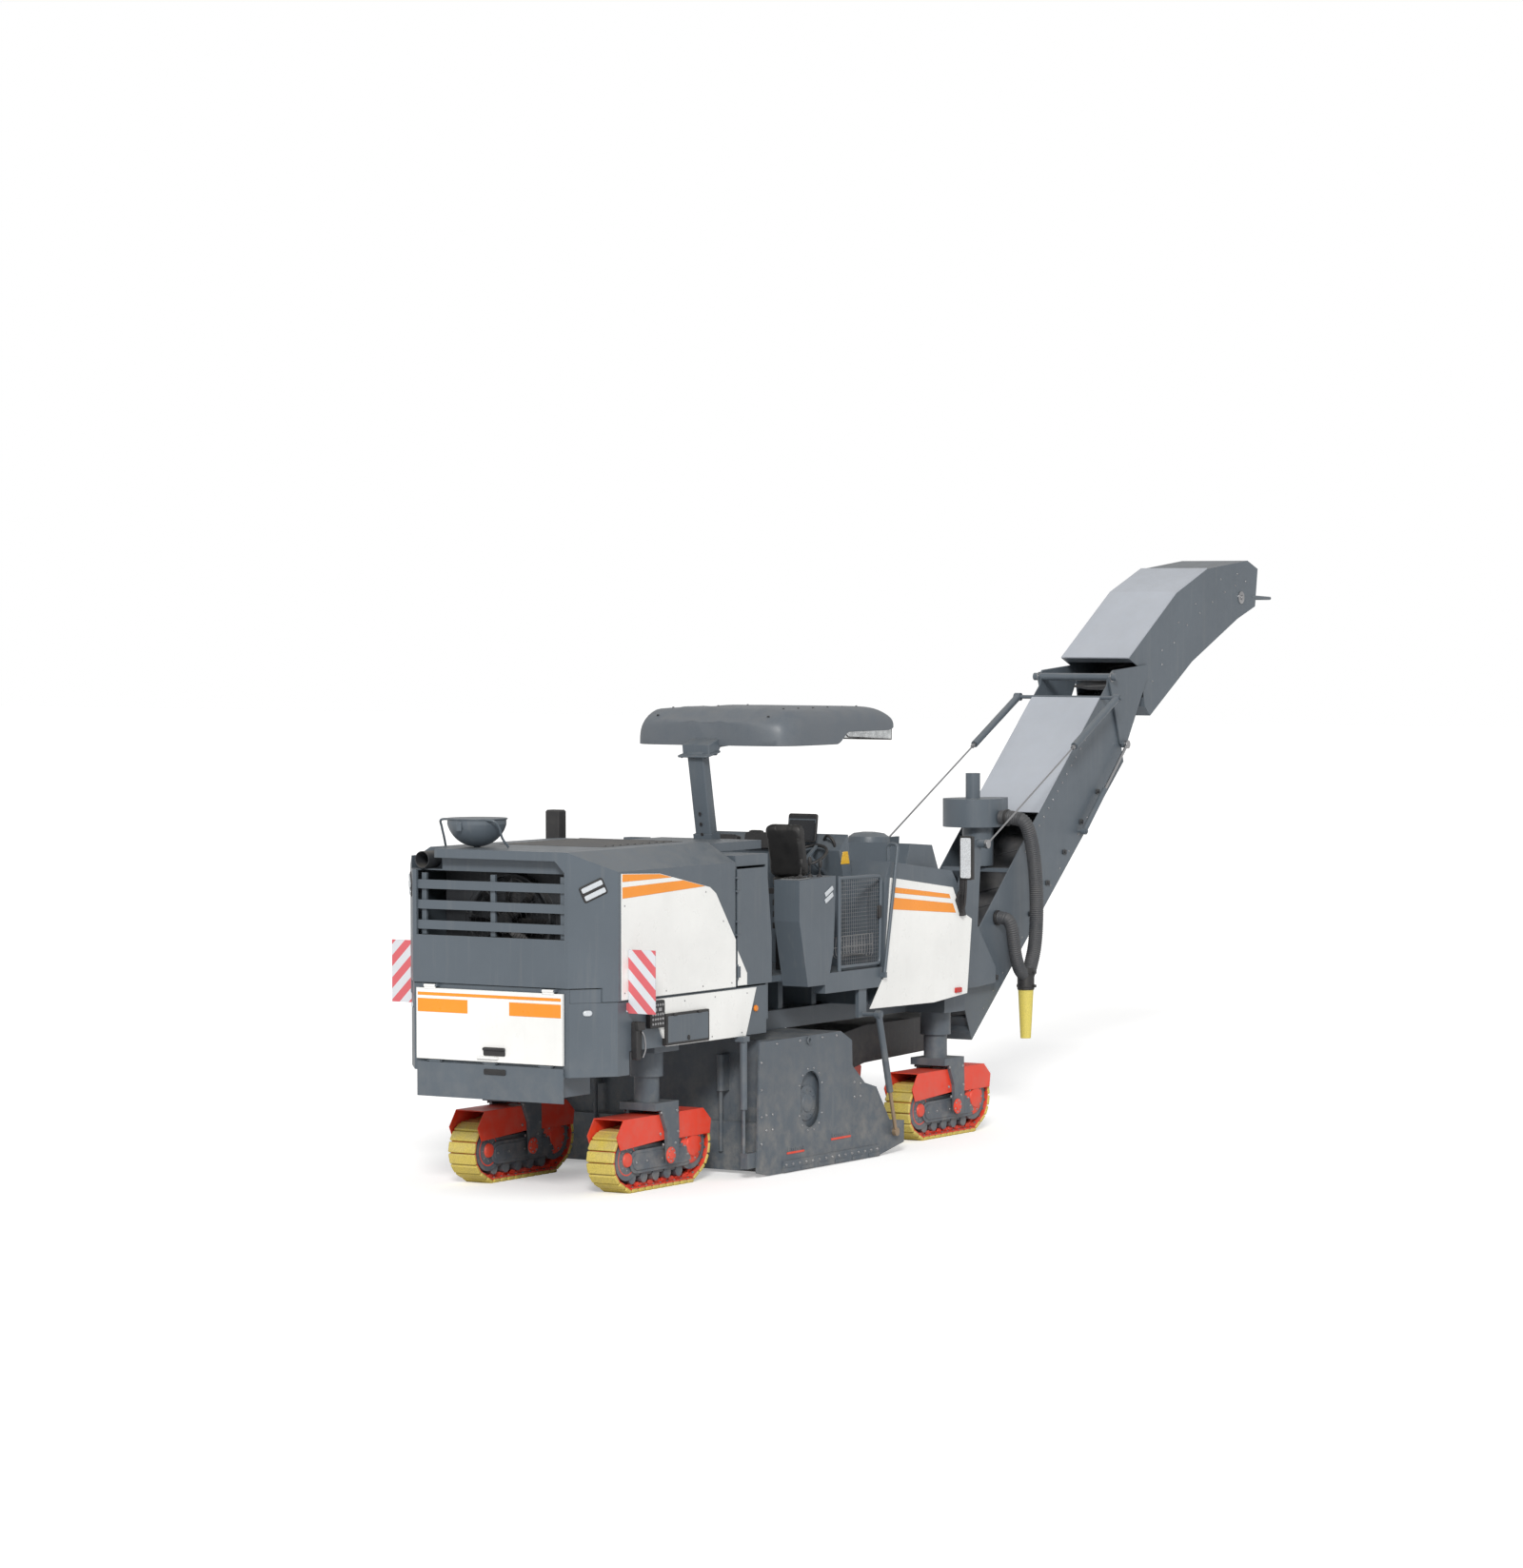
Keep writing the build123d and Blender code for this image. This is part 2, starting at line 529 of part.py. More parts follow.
# ---------------------------------------------------------------- operator's platform
WALL_X = -4480.0
POST_LEAN = radians(11)
POST_FOOT = (-3770.0, 0.0, 3040.0)
POST_DIR = (-sin(POST_LEAN), 0, cos(POST_LEAN))
POST_PLANE = Plane(origin=POST_FOOT, x_dir=(cos(POST_LEAN), 0, sin(POST_LEAN)), z_dir=POST_DIR)
POST_OUT = (152.0, 202.0)
POST_IN = (132.0, 182.0)
GATE_X, GATE_Y = -3200.0, BODY_HALF - 20
CONSOLE_IN = 850.0
with BuildPart() as deck:
    profile_xy(
        [
            (WALL_X, -CONSOLE_IN),
            (-3480, -CONSOLE_IN),
            (-3480, -BODY_HALF + 100),
            (DECK_FRONT_X, -BODY_HALF + 100),
            (DECK_FRONT_X, BODY_HALF - 100),
            (-3480, BODY_HALF - 100),
            (-3480, CONSOLE_IN),
            (WALL_X, CONSOLE_IN),
        ],
        DECK_Z - 60,
        DECK_Z,
    )
    for side in (-1, 1):
        block((-3480, DECK_FRONT_X), (side * (BODY_HALF - 140), side * BODY_HALF), (DECK_BOTTOM_Z, DECK_Z))
    block((WALL_X, WALL_X + 40), (-BODY_HALF + 30, BODY_HALF - 30), (FRAME_TOP_Z + 12, 2960))
    block((HOOD_FRONT_X + 50, WALL_X), (-BODY_HALF + 30, BODY_HALF - 30), (2860, 2960))
    block((HOOD_FRONT_X + 50, HOOD_FRONT_X + 62), (-BODY_HALF + 30, BODY_HALF - 30), (FRAME_TOP_Z + 12, 2900))
    block((HOOD_FRONT_X + 50, -3700), (-560, 560), (2960, 3040))
    for x in (-4400, -3900, -3300, -2700):
        block((x - 40, x + 40), (-520, 520), (FRAME_TOP_Z, DECK_Z - 60))
    block((DECK_FRONT_X - 30, DECK_FRONT_X), (-BODY_HALF + 160, BODY_HALF - 160), (FRAME_TOP_Z, 2600))
    with BuildSketch(POST_PLANE.offset(-300)):
        Rectangle(POST_OUT[0] + 2 * SEAT_GAP, POST_OUT[1] + 2 * SEAT_GAP)
    extrude(amount=500, mode=Mode.SUBTRACT)
    for side in (-1, 1):
        # handrail at the hood's rear corner
        block((-2480, -2445), (side * 1090, side * 1185), (1690, 1740))
        pipe(
            [
                (-2462, side * 1165, 1715),
                (-2300, side * 1165, 2500),
                (-2210, side * 1165, 2950),
                (-2190, side * 1040, 2960),
                (-2190, side * 1040, 2787),
            ],
            50,
            17,
        )
        # engine hood hinge
        rod_y(HINGE_X, HINGE_Z, min(side * 440, side * 562), max(side * 440, side * 562), 7)
        block((HINGE_X - 10, HOOD_FRONT_X + 60), (side * 440, side * 500), (2930, HINGE_Z + 7))
        # gate pin and service door lugs
        rod_z(GATE_X, side * GATE_Y, DECK_Z - 20, DECK_Z + 60, 10)
        block((BAY_HINGE_X - 18, BAY_HINGE_X + 30), (side * 1080, side * 1108), (SEAM_Z + 10, 2850))
        for z in (1900, 2300, 2700):
            rod_z(BAY_HINGE_X, side * BAY_HINGE_Y, z - 70, z + 70, 5)
            for low in (z - 70, z + 52):
                block((BAY_HINGE_X - 18, BAY_HINGE_X - 6), (side * 1080, side * (BAY_HINGE_Y + 5)), (low, low + 18))
                block((BAY_HINGE_X - 18, BAY_HINGE_X + 5), (side * (BAY_HINGE_Y - 6), side * (BAY_HINGE_Y + 5)), (low, low + 18))
    for side in (-1, 1):
        # brackets of the slanted side plate cylinders
        block((-2840, -2700), (side * (BODY_HALF - 60), side * (BODY_HALF - 20)), (1330, DECK_BOTTOM_Z))
        rod_y(-2760, 1360, min(side * 1080, side * 1315), max(side * 1080, side * 1315), 20)
finish("operator_deck", deck)

with BuildPart() as consoles:
    for side in (-1, 1):
        inner, outer_y = side * CONSOLE_IN, side * BODY_HALF
        profile_xz(
            [
                (-3785, 1684),
                (-3935, 2300),
                (-3935, 2684),
                (-3290, 2700),
                (-3330, 2000),
                (-3395, DECK_Z),
                (-3480, DECK_Z),
                (-3480, 1684),
            ],
            min(inner, outer_y),
            max(inner, outer_y),
        )
    # dash across the front of the platform
    dash_x = DECK_FRONT_X - 30
    profile_xz(
        [
            (dash_x - 100, DECK_Z),
            (dash_x - 100, 2500),
            (dash_x - 220, 2900),
            (dash_x - 60, 3050),
            (dash_x, 2700),
            (dash_x, DECK_Z),
        ],
        -800,
        800,
    )
    block((dash_x - 260, dash_x - 235), (-560, -260), (2980, 3200))
    block((dash_x - 250, dash_x - 80), (-430, -390), (2960, 3000))
    with BuildSketch(Plane(origin=(-2900, -590, 2850), z_dir=(-0.5, 0, 0.87))):
        Circle(190)
        Circle(168, mode=Mode.SUBTRACT)
        Rectangle(345, 30)
    extrude(amount=22)
    bar((-2900, -590, 2850), (-2560, -590, 2650), 22)
finish("operator_consoles", consoles)

SEAT_X, SEAT_Y = -3230.0, -590.0
with BuildPart() as seat_base:
    block((SEAT_X - 60, SEAT_X + 340), (SEAT_Y - 130, SEAT_Y + 130), (DECK_Z, 2180))
    for fold in range(6):
        half = 150 if fold % 2 else 170
        block(
            (SEAT_X + 120 - half, SEAT_X + 120 + half),
            (SEAT_Y - half, SEAT_Y + half),
            (2180 + fold * 55, 2235 + fold * 55),
        )
    block((SEAT_X - 60, SEAT_X + 430), (SEAT_Y - 220, SEAT_Y + 220), (2510, 2560))
finish("seat_base", seat_base)

with BuildPart() as seat:
    block((SEAT_X - 60, SEAT_X + 450), (SEAT_Y - 235, SEAT_Y + 235), (2560 + SEAT_GAP, 2680))
    profile_xz(
        [
            (SEAT_X - 60, 2600),
            (SEAT_X - 190, 3180),
            (SEAT_X - 160, 3215),
            (SEAT_X - 80, 3200),
            (SEAT_X + 60, 2640),
        ],
        SEAT_Y - 230,
        SEAT_Y + 230,
    )
finish("seat", seat)

for name, side in SIDES:
    with BuildPart() as gate:
        pipe(
            [
                (GATE_X, side * GATE_Y, 1830),
                (-2470, side * GATE_Y, 1830),
                (-2440, side * GATE_Y, 2660),
                (GATE_X, side * GATE_Y, 2670),
            ],
            70,
            17,
        )
        rod_z(GATE_X, side * GATE_Y, DECK_Z + SEAT_GAP, 2690, 19)
        rod_z(GATE_X, side * GATE_Y, DECK_Z - 5, DECK_Z + 65, 10 + FIT, mode=Mode.SUBTRACT)
        block((GATE_X + 10, -2475), (side * (GATE_Y - 2), side * (GATE_Y + 2)), (1840, 2665))
    finish(f"access_gate_{name}", gate)

# ---------------------------------------------------------------- front hood
HOOD_SKIN = 15.0
with BuildPart() as front_hood:
    profile_xz(
        [
            (-2400, FRAME_TOP_Z + SEAT_GAP),
            (-2400, 2600),
            (-2300, 2790),
            (-1120, 2650),
            (-1000, 2500),
            (-860, 2200),
            (-880, FRAME_TOP_Z + SEAT_GAP),
        ],
        -BODY_HALF,
        BODY_HALF,
    )
    profile_xz([(-1700, 2700), (-1620, 2930), (-1200, 2900), (-960, 2400), (-1200, 2400)], -950, 950)
    profile_xz(
        [
            (-2400 + HOOD_SKIN, FRAME_TOP_Z - 10),
            (-2400 + HOOD_SKIN, 2590),
            (-2290, 2770),
            (-1640, 2690),
            (-1600, 2905),
            (-1210, 2880),
            (-1020, 2490),
            (-878, 2190),
            (-896, FRAME_TOP_Z - 10),
        ],
        -BODY_HALF + HOOD_SKIN,
        BODY_HALF - HOOD_SKIN,
        mode=Mode.SUBTRACT,
    )
    for side in (-1, 1):
        profile_xz(
            [(-1700, 2690), (-1620, 2930), (-1200, 2900), (-1000, 2500), (-1200, 2400)],
            min(side * 935, side * 950),
            max(side * 935, side * 950),
        )
finish("front_hood", front_hood)

# ---------------------------------------------------------------- canopy
POST_TOP = 60.0
with BuildPart() as post:
    with BuildSketch(POST_PLANE.offset(-1330)):
        Rectangle(*POST_OUT)
        Rectangle(*POST_IN, mode=Mode.SUBTRACT)
    extrude(amount=1330 + POST_TOP)
    block((-4500, -3000), (-200, 200), (1500, DECK_Z), mode=Mode.SUBTRACT)
finish("canopy_post", post)

with BuildPart() as canopy:
    with BuildSketch(POST_PLANE.offset(-560)):
        Rectangle(POST_IN[0] - 12, POST_IN[1] - 12)
        Rectangle(POST_IN[0] - 28, POST_IN[1] - 28, mode=Mode.SUBTRACT)
    extrude(amount=1400)
    with BuildSketch(POST_PLANE.offset(-560)):
        Rectangle(POST_IN[0] - 2 * SEAT_GAP, POST_IN[1] - 2 * SEAT_GAP)
    extrude(amount=60)
    profile_xz(
        [
            (-3960, 3830),
            (-4010, 3960),
            (-3760, 4180),
            (-3500, 4260),
            (-1900, 4220),
            (-1630, 4060),
            (-1650, 4030),
            (-1760, 3990),
            (-3300, 3960),
            (-3760, 3920),
            (-3820, 3830),
        ],
        -150,
        150,
    )
    profile_xz(
        [(-3780, 3918), (-3740, 4050), (-3480, 4250), (-1900, 4215), (-1620, 4068), (-1740, 3986)],
        -880,
        880,
    )
    block((-3560, -1900), (-760, 760), (3900, 4150), mode=Mode.SUBTRACT)
finish("canopy_roof", canopy)

with BuildPart() as mirrors:
    for side in (-1, 1):
        block((-1010, -960), (side * 1150, side * 1290), (2560, 2980))
        block((-1000, -970), (side * (BODY_HALF + PANEL), side * 1185), (2200, 2600))
finish("mirrors", mirrors)

with BuildPart() as warning:
    for side in (-1, 1):
        block((-6815, -6805), (side * 1150, side * 1432), (1650, 2214))
        block((-6805, -6775), (side * (BODY_HALF - 10), side * 1200), (1660, 1740))
finish("warning_panels", warning)

# ---------------------------------------------------------------- milling unit
HOUSING_X = (DRUM_X - 620, DRUM_X + 620)
HOUSING_HALF = PLATE_Y - PLATE_THICK - 36
SCRAPER_ROD_X = DRUM_X - 712
with BuildPart() as housing:
    profile_xz(
        [
            (HOUSING_X[0], 380),
            (HOUSING_X[0], FRAME_BOTTOM_Z - SEAT_GAP),
            (HOUSING_X[1], FRAME_BOTTOM_Z - SEAT_GAP),
            (HOUSING_X[1], 380),
        ],
        -HOUSING_HALF,
        HOUSING_HALF,
    )
    rod_y(DRUM_X, DRUM_Z, -HOUSING_HALF + 30, HOUSING_HALF - 30, DRUM_RADIUS + 60, mode=Mode.SUBTRACT)
    block((DRUM_X - 520, DRUM_X + 520), (-HOUSING_HALF + 30, HOUSING_HALF - 30), (300, DRUM_Z), mode=Mode.SUBTRACT)
    block((DRUM_X, HOUSING_X[1] + 10), (-330, 330), (500, 1000), mode=Mode.SUBTRACT)
    for side in (-1, 1):
        rod_y(
            DRUM_X,
            DRUM_Z,
            min(side * (DRUM_LENGTH / 2 + 8), side * (HOUSING_HALF - 20)),
            max(side * (DRUM_LENGTH / 2 + 8), side * (HOUSING_HALF - 20)),
            180,
        )
    rod_y(DRUM_X, DRUM_Z, -DRUM_LENGTH / 2 - 120, DRUM_LENGTH / 2 + 120, 60 + FIT, mode=Mode.SUBTRACT)
    # guides of the scraper
    for y in (-700, 700):
        rod_z(SCRAPER_ROD_X, y, 760, 1100, 38)
        block((SCRAPER_ROD_X, HOUSING_X[0] + 10), (y - 38, y + 38), (760, 1100))
        rod_z(SCRAPER_ROD_X, y, 750, 1110, 20 + FIT, mode=Mode.SUBTRACT)
finish("drum_housing", housing)

with BuildPart() as drum:
    rod_y(DRUM_X, DRUM_Z, -DRUM_LENGTH / 2, DRUM_LENGTH / 2, DRUM_RADIUS - 130)
    rod_y(DRUM_X, DRUM_Z, -DRUM_LENGTH / 2 - 100, DRUM_LENGTH / 2 + 100, 60)
    for row in range(16):
        y = -DRUM_LENGTH / 2 + 60 + row * 92
        for start in range(3):
            turn = radians(row * 24 + start * 120)
            at = Vector(DRUM_X + (DRUM_RADIUS - 140) * cos(turn), y, DRUM_Z + (DRUM_RADIUS - 140) * sin(turn))
            out = Vector(cos(turn), 0, sin(turn))
            with BuildSketch(Plane(origin=at, x_dir=(0, 1, 0), z_dir=out)):
                Rectangle(60, 80)
            extrude(amount=80, taper=12)
            tip = at + out * 78
            with BuildSketch(Plane(origin=tip, z_dir=out)):
                Circle(16)
            extrude(amount=60, taper=10)
finish("milling_drum", drum)

PLATE_OUTLINE = [
    (-4640, 0),
    (-4840, 40),
    (-4790, 1240),
    (-3370, 1240),
    (-3170, 1140),
    (-3162, 900),
    (-2936, 719),
    (-2727, 665),
    (-2480, 330),
    (-2210, 300),
    (-2213, 91),
    (-2700, 0),
]
PLATE_REST = 6.0
EDGE_TOP = (-2760.0, 1360.0)
EDGE_PIN = (-2440.0, 210.0)
EDGE_Y = PLATE_Y + 45
for name, side in SIDES:
    inner, outer_y = side * (PLATE_Y - PLATE_THICK), side * PLATE_Y
    with BuildPart() as plate:
        profile_xz(
            [(x, z + PLATE_REST) for x, z in PLATE_OUTLINE], min(inner, outer_y), max(inner, outer_y)
        )
        rod_y(DRUM_X, DRUM_Z + 125, min(inner, outer_y) - 1, max(inner, outer_y) + 1, 175, mode=Mode.SUBTRACT)
        block(
            (DRUM_X - 175, DRUM_X + 175),
            (min(inner, outer_y) - 1, max(inner, outer_y) + 1),
            (DRUM_Z - 50, DRUM_Z + 125),
            mode=Mode.SUBTRACT,
        )
        rod_y(DRUM_X, DRUM_Z - 50, min(inner, outer_y) - 1, max(inner, outer_y) + 1, 175, mode=Mode.SUBTRACT)
        # skid shoe along the lower edge and the rod eye at the rear
        skid_y = side * (PLATE_Y + 14)
        block((-4400, -2690), (min(outer_y, skid_y), max(outer_y, skid_y)), (PLATE_REST, PLATE_REST + 110))
        eye_y = side * (RAM_Y - 20)
        block((RAM_X - 20, -4790), (min(inner, eye_y), max(inner, eye_y)), (PLATE_REST + 90, PLATE_REST + 230))
        rod_z(RAM_X, side * RAM_Y, PLATE_REST + 150, 900, 17)
        pin_y = side * (EDGE_Y - 20 - CLEAR)
        rod_y(EDGE_PIN[0], EDGE_PIN[1] + PLATE_REST, min(outer_y, pin_y), max(outer_y, pin_y), 18)
    finish(f"side_plate_{name}", plate)

for name, side in SIDES:
    y = side * EDGE_Y
    low = Vector(EDGE_PIN[0], y, EDGE_PIN[1] + PLATE_REST)
    top = Vector(EDGE_TOP[0], y, EDGE_TOP[1])
    along = (low - top).normalized()
    with BuildPart() as barrel:
        bar(tuple(top), tuple(top + along * 780), 32)
        rod_y(EDGE_TOP[0], EDGE_TOP[1], y - 30, y + 30, 40)
        rod_y(EDGE_TOP[0], EDGE_TOP[1], y - 40, y + 40, 20 + FIT, mode=Mode.SUBTRACT)
        bar(tuple(top + along * 60), tuple(top + along * 790), 18 + FIT, mode=Mode.SUBTRACT)
    finish(f"edge_barrel_{name}", barrel)
    with BuildPart() as edge_rod:
        bar(tuple(top + along * 420), tuple(low), 18)
        rod_y(low.X, low.Z, y - 20, y + 20, 40)
    finish(f"edge_rod_{name}", edge_rod)

with BuildPart() as scraper:
    block((DRUM_X - 700, DRUM_X - 660), (-HOUSING_HALF + 20, HOUSING_HALF - 20), (30, 480))
    for y in (-700, 700):
        rod_z(SCRAPER_ROD_X, y, 200, 900, 20)
finish("scraper_blade", scraper)

with BuildPart() as primary:
    profile_xz(
        [
            (HOUSING_X[1] + SEAT_GAP, 480),
            (HOUSING_X[1] + SEAT_GAP, 900),
            (-1500, 1130),
            (30, 1130),
            (30, 800),
            (-1500, 760),
        ],
        -360,
        360,
    )
finish("primary_conveyor", primary)

# ---------------------------------------------------------------- slewing frame
YOKE_IN, YOKE_OUT = 470.0, 500.0
ANCHOR = (500.0, 2830.0)
ANCHOR_Y = 600.0
with BuildPart() as slew:
    rod_z(SLEW_X, 0, 1240, 1690, KING_POST_R)
    rod_z(SLEW_X, 0, 1295, 1635, 85)
    block((SLEW_X - 60, SLEW_X + 60), (-YOKE_OUT, YOKE_OUT), (1400, 1560))
    for side in (-1, 1):
        inner, outer_y = side * YOKE_IN, side * YOKE_OUT
        profile_xz(
            [
                (SLEW_X - 60, 1380),
                (SLEW_X - 60, 1600),
                (300, 2880),
                (560, 2880),
                (480, 2000),
                (LIFT_X + 100, LIFT_Z + 60),
                (LIFT_X + 100, LIFT_Z - 100),
                (500, 1380),
            ],
            min(inner, outer_y),
            max(inner, outer_y),
        )
        rod_y(LIFT_X, LIFT_Z, min(side * (BELT_HALF - 5), outer_y), max(side * (BELT_HALF - 5), outer_y), 45)
        boss_y = side * (ANCHOR_Y - 15 - CLEAR)
        rod_y(ANCHOR[0], ANCHOR[1], min(outer_y, boss_y), max(outer_y, boss_y), 40)
finish("slew_frame", slew)

# ---------------------------------------------------------------- discharge conveyor, lower section
LOWER_SIDE = [
    (520, 835),
    (210, 1550),
    (1540, 2770),
    (3380, 4395),
    (3395, 4500),
    (3465, 4510),
    (3500, 4380),
    (3750, 3572),
]
LIFT_TOP = (3250.0, 4260.0)
FOLD_LOW = (2750.0, 2870.0)
FOLD_PIN = (3700.0, 3757.0)
UPPER_SIDE = [
    (3860, 4667),
    (4955, 5368),
    (5670, 5631),
    (6650, 5730),
    (6900, 5640),
    (6840, 5222),
    (6410, 5085),
    (5320, 4620),
    (4350, 4050),
    (4230, 4150),
    (4150, 4550),
]
with BuildPart() as conveyor_lower:
    profile_xz(LOWER_SIDE, -BELT_HALF, BELT_HALF)
    inner_side = [(x, z) for x, z in LOWER_SIDE]
    profile_xz(
        [(460, 900), (190, 1600), (1540, 2830), (3400, 4475), (3640, 4400), (3800, 3640), (3700, 3600)],
        -BELT_HALF + BELT_PLATE,
        BELT_HALF - BELT_PLATE,
        mode=Mode.SUBTRACT,
    )
    profile_xz(
        [(560, 935), (500, 1060), (3560, 3780), (3640, 3660)],
        -BELT_HALF + BELT_PLATE,
        BELT_HALF - BELT_PLATE,
    )
    rod_y(LIFT_X, LIFT_Z, -BELT_HALF - 1, BELT_HALF + 1, 45 + FIT, mode=Mode.SUBTRACT)
    rod_y(FOLD_X, FOLD_Z, -500, 500, 40)
    rod_y(LIFT_TOP[0], LIFT_TOP[1], -650, 650, 20)
    rod_y(FOLD_LOW[0], FOLD_LOW[1], -520, -BELT_HALF + 1, 18)
    rod_y(FOLD_LOW[0], FOLD_LOW[1], BELT_HALF - 1, 520, 18)
finish("conveyor_lower", conveyor_lower)

with BuildPart() as lower_cover:
    profile_xz(
        [(1900, 3088.3), (3220, 4254.1), (3212, 4263.1), (1892, 3097.3)],
        -BELT_HALF,
        BELT_HALF,
    )
finish("lower_cover", lower_cover)

with BuildPart() as conveyor_upper:
    profile_xz(UPPER_SIDE, -BELT_HALF, BELT_HALF)
    profile_xz(
        [(3960, 4640), (4975, 5290), (5690, 5550), (6950, 5680), (6920, 5330), (6400, 5160), (5290, 4690), (4300, 4110)],
        -BELT_HALF + BELT_PLATE,
        BELT_HALF - BELT_PLATE,
        mode=Mode.SUBTRACT,
    )
    for side in (-1, 1):
        arm = (side * (BELT_HALF + 6), side * (BELT_HALF + 26))
        profile_xz(
            [(FOLD_X - 60, FOLD_Z), (FOLD_X + 40, FOLD_Z + 70), (4250, 4600), (4250, 4480), (3760, 3740), (3640, 3760)],
            min(arm),
            max(arm),
        )
        rod_y(FOLD_X, FOLD_Z, min(arm) - 1, max(arm) + 1, 40 + FIT, mode=Mode.SUBTRACT)
        stub = (side * (BELT_HALF + 10), side * (BELT_HALF + 70 - 15 - CLEAR))
        rod_y(FOLD_PIN[0], FOLD_PIN[1], min(stub), max(stub), 36)
        join = (side * (BELT_HALF - 2), side * (BELT_HALF + 26))
        block((4160, 4240), (min(join), max(join)), (4440, 4580))
    pipe([(6760, -400, 5330), (7290, -400, 5310), (7290, 400, 5310), (6760, 400, 5330)], 90, 17)
finish("conveyor_upper", conveyor_upper)

with BuildPart() as upper_cover:
    profile_xz(
        [(3860, 4667), (4955, 5368), (5670, 5631), (5670, 5643), (4950, 5382), (3852, 4679)],
        -BELT_HALF,
        BELT_HALF,
    )
finish("upper_cover", upper_cover)

lift_dir = Vector(ANCHOR[0] - LIFT_TOP[0], 0, ANCHOR[1] - LIFT_TOP[1]).normalized()
with BuildPart() as lift_barrels:
    for side in (-1, 1):
        y = side * ANCHOR_Y
        top = Vector(LIFT_TOP[0], y, LIFT_TOP[1])
        bar(tuple(top + lift_dir * 30), tuple(top + lift_dir * 1050), 38)
        rod_y(LIFT_TOP[0], LIFT_TOP[1], y - 35, y + 35, 42)
        rod_y(LIFT_TOP[0], LIFT_TOP[1], y - 45, y + 45, 20 + FIT, mode=Mode.SUBTRACT)
        bar(tuple(top + lift_dir * 100), tuple(top + lift_dir * 1060), 22 + FIT, mode=Mode.SUBTRACT)
finish("lift_barrels", lift_barrels)

with BuildPart() as lift_rods:
    for side in (-1, 1):
        y = side * ANCHOR_Y
        top = Vector(LIFT_TOP[0], y, LIFT_TOP[1])
        pin = Vector(ANCHOR[0], y, ANCHOR[1])
        bar(tuple(top + lift_dir * 330), tuple(top + lift_dir * 1100), 22)
        bar(tuple(top + lift_dir * 1090), tuple(pin), 9)
        rod_y(pin.X, pin.Z, y - 15, y + 15, 45)
finish("lift_rods", lift_rods)

fold_dir = Vector(FOLD_PIN[0] - FOLD_LOW[0], 0, FOLD_PIN[1] - FOLD_LOW[1]).normalized()
with BuildPart() as fold_barrels:
    for side in (-1, 1):
        y = side * (BELT_HALF + 70)
        low = Vector(FOLD_LOW[0], y, FOLD_LOW[1])
        bar(tuple(low), tuple(low + fold_dir * 620), 30)
        rod_y(FOLD_LOW[0], FOLD_LOW[1], y - 25, y + 25, 36)
        rod_y(FOLD_LOW[0], FOLD_LOW[1], y - 35, y + 35, 18 + FIT, mode=Mode.SUBTRACT)
        bar(tuple(low + fold_dir * 60), tuple(low + fold_dir * 630), 16 + FIT, mode=Mode.SUBTRACT)
finish("fold_barrels", fold_barrels)
with BuildPart() as fold_rods:
    for side in (-1, 1):
        y = side * (BELT_HALF + 70)
        low = Vector(FOLD_LOW[0], y, FOLD_LOW[1])
        pin = Vector(FOLD_PIN[0], y, FOLD_PIN[1])
        bar(tuple(low + fold_dir * 480), tuple(pin), 16)
        rod_y(pin.X, pin.Z, y - 15, y + 15, 45)
finish("fold_rods", fold_rods)

# ---------------------------------------------------------------- dust suction
with BuildPart() as suction:
    with BuildSketch(Plane.XY.offset(2960)):
        with Locations((1350, 60)):
            Circle(310)
        with Locations((1700, -20)):
            Circle(120)
        make_hull()
    extrude(amount=290)
    rod_z(1350, 60, 3250, 3510, 75)
    rod_z(1350, 0, 2560, 2960, 160)
    block((1300, 1420), (-BELT_HALF + BELT_PLATE + SEAT_GAP, BELT_HALF - BELT_PLATE - SEAT_GAP), (2500, 2540))
    block((1330, 1390), (-100, 100), (2530, 2600))
finish("suction_unit", suction)

with BuildPart() as hoses:
    pipe([(1350, -250 - SEAT_GAP, 3060), (1350, -570, 3060), (1350, -570, 1300)], 150, 72)
finish("suction_hoses", hoses)

with BuildPart() as nozzle:
    with BuildSketch(Plane.XY.offset(1300 - SEAT_GAP)):
        with Locations((1350, -570)):
            Circle(80)
    extrude(amount=-500, taper=3)
finish("dust_nozzle", nozzle)
print("built")
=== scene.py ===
# %% [markdown]
# # A cold planer in Blender
# The machine's shape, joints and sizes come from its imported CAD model, which is loaded once as a frame that
# nothing may move. Blender's work is the rest: paint, rubber, dust and wear on every surface, and the small
# parts that make it read as a real machine, from crawler pads and bolts to hoses, lamps and the seat.

# %% Load the frame
import math

import bmesh
import bpy
import numpy as np
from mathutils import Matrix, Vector


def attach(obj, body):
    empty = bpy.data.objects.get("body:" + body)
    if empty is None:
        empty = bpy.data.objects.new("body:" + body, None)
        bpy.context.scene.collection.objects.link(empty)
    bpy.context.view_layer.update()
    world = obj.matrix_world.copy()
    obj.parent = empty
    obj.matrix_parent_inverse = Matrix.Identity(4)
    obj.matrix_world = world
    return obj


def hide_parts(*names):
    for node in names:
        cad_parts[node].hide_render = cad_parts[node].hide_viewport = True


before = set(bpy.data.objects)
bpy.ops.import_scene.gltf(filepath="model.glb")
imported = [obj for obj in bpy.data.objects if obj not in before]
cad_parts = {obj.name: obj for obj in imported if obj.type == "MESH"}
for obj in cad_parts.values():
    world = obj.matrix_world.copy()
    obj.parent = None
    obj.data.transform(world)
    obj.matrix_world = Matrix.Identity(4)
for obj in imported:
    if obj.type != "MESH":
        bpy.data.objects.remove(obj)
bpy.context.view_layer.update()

RIGHT, LEFT = -1, 1
SIDES = (("right", RIGHT), ("left", LEFT))
TAU = 2 * math.pi
UP = (0, 0, 1)
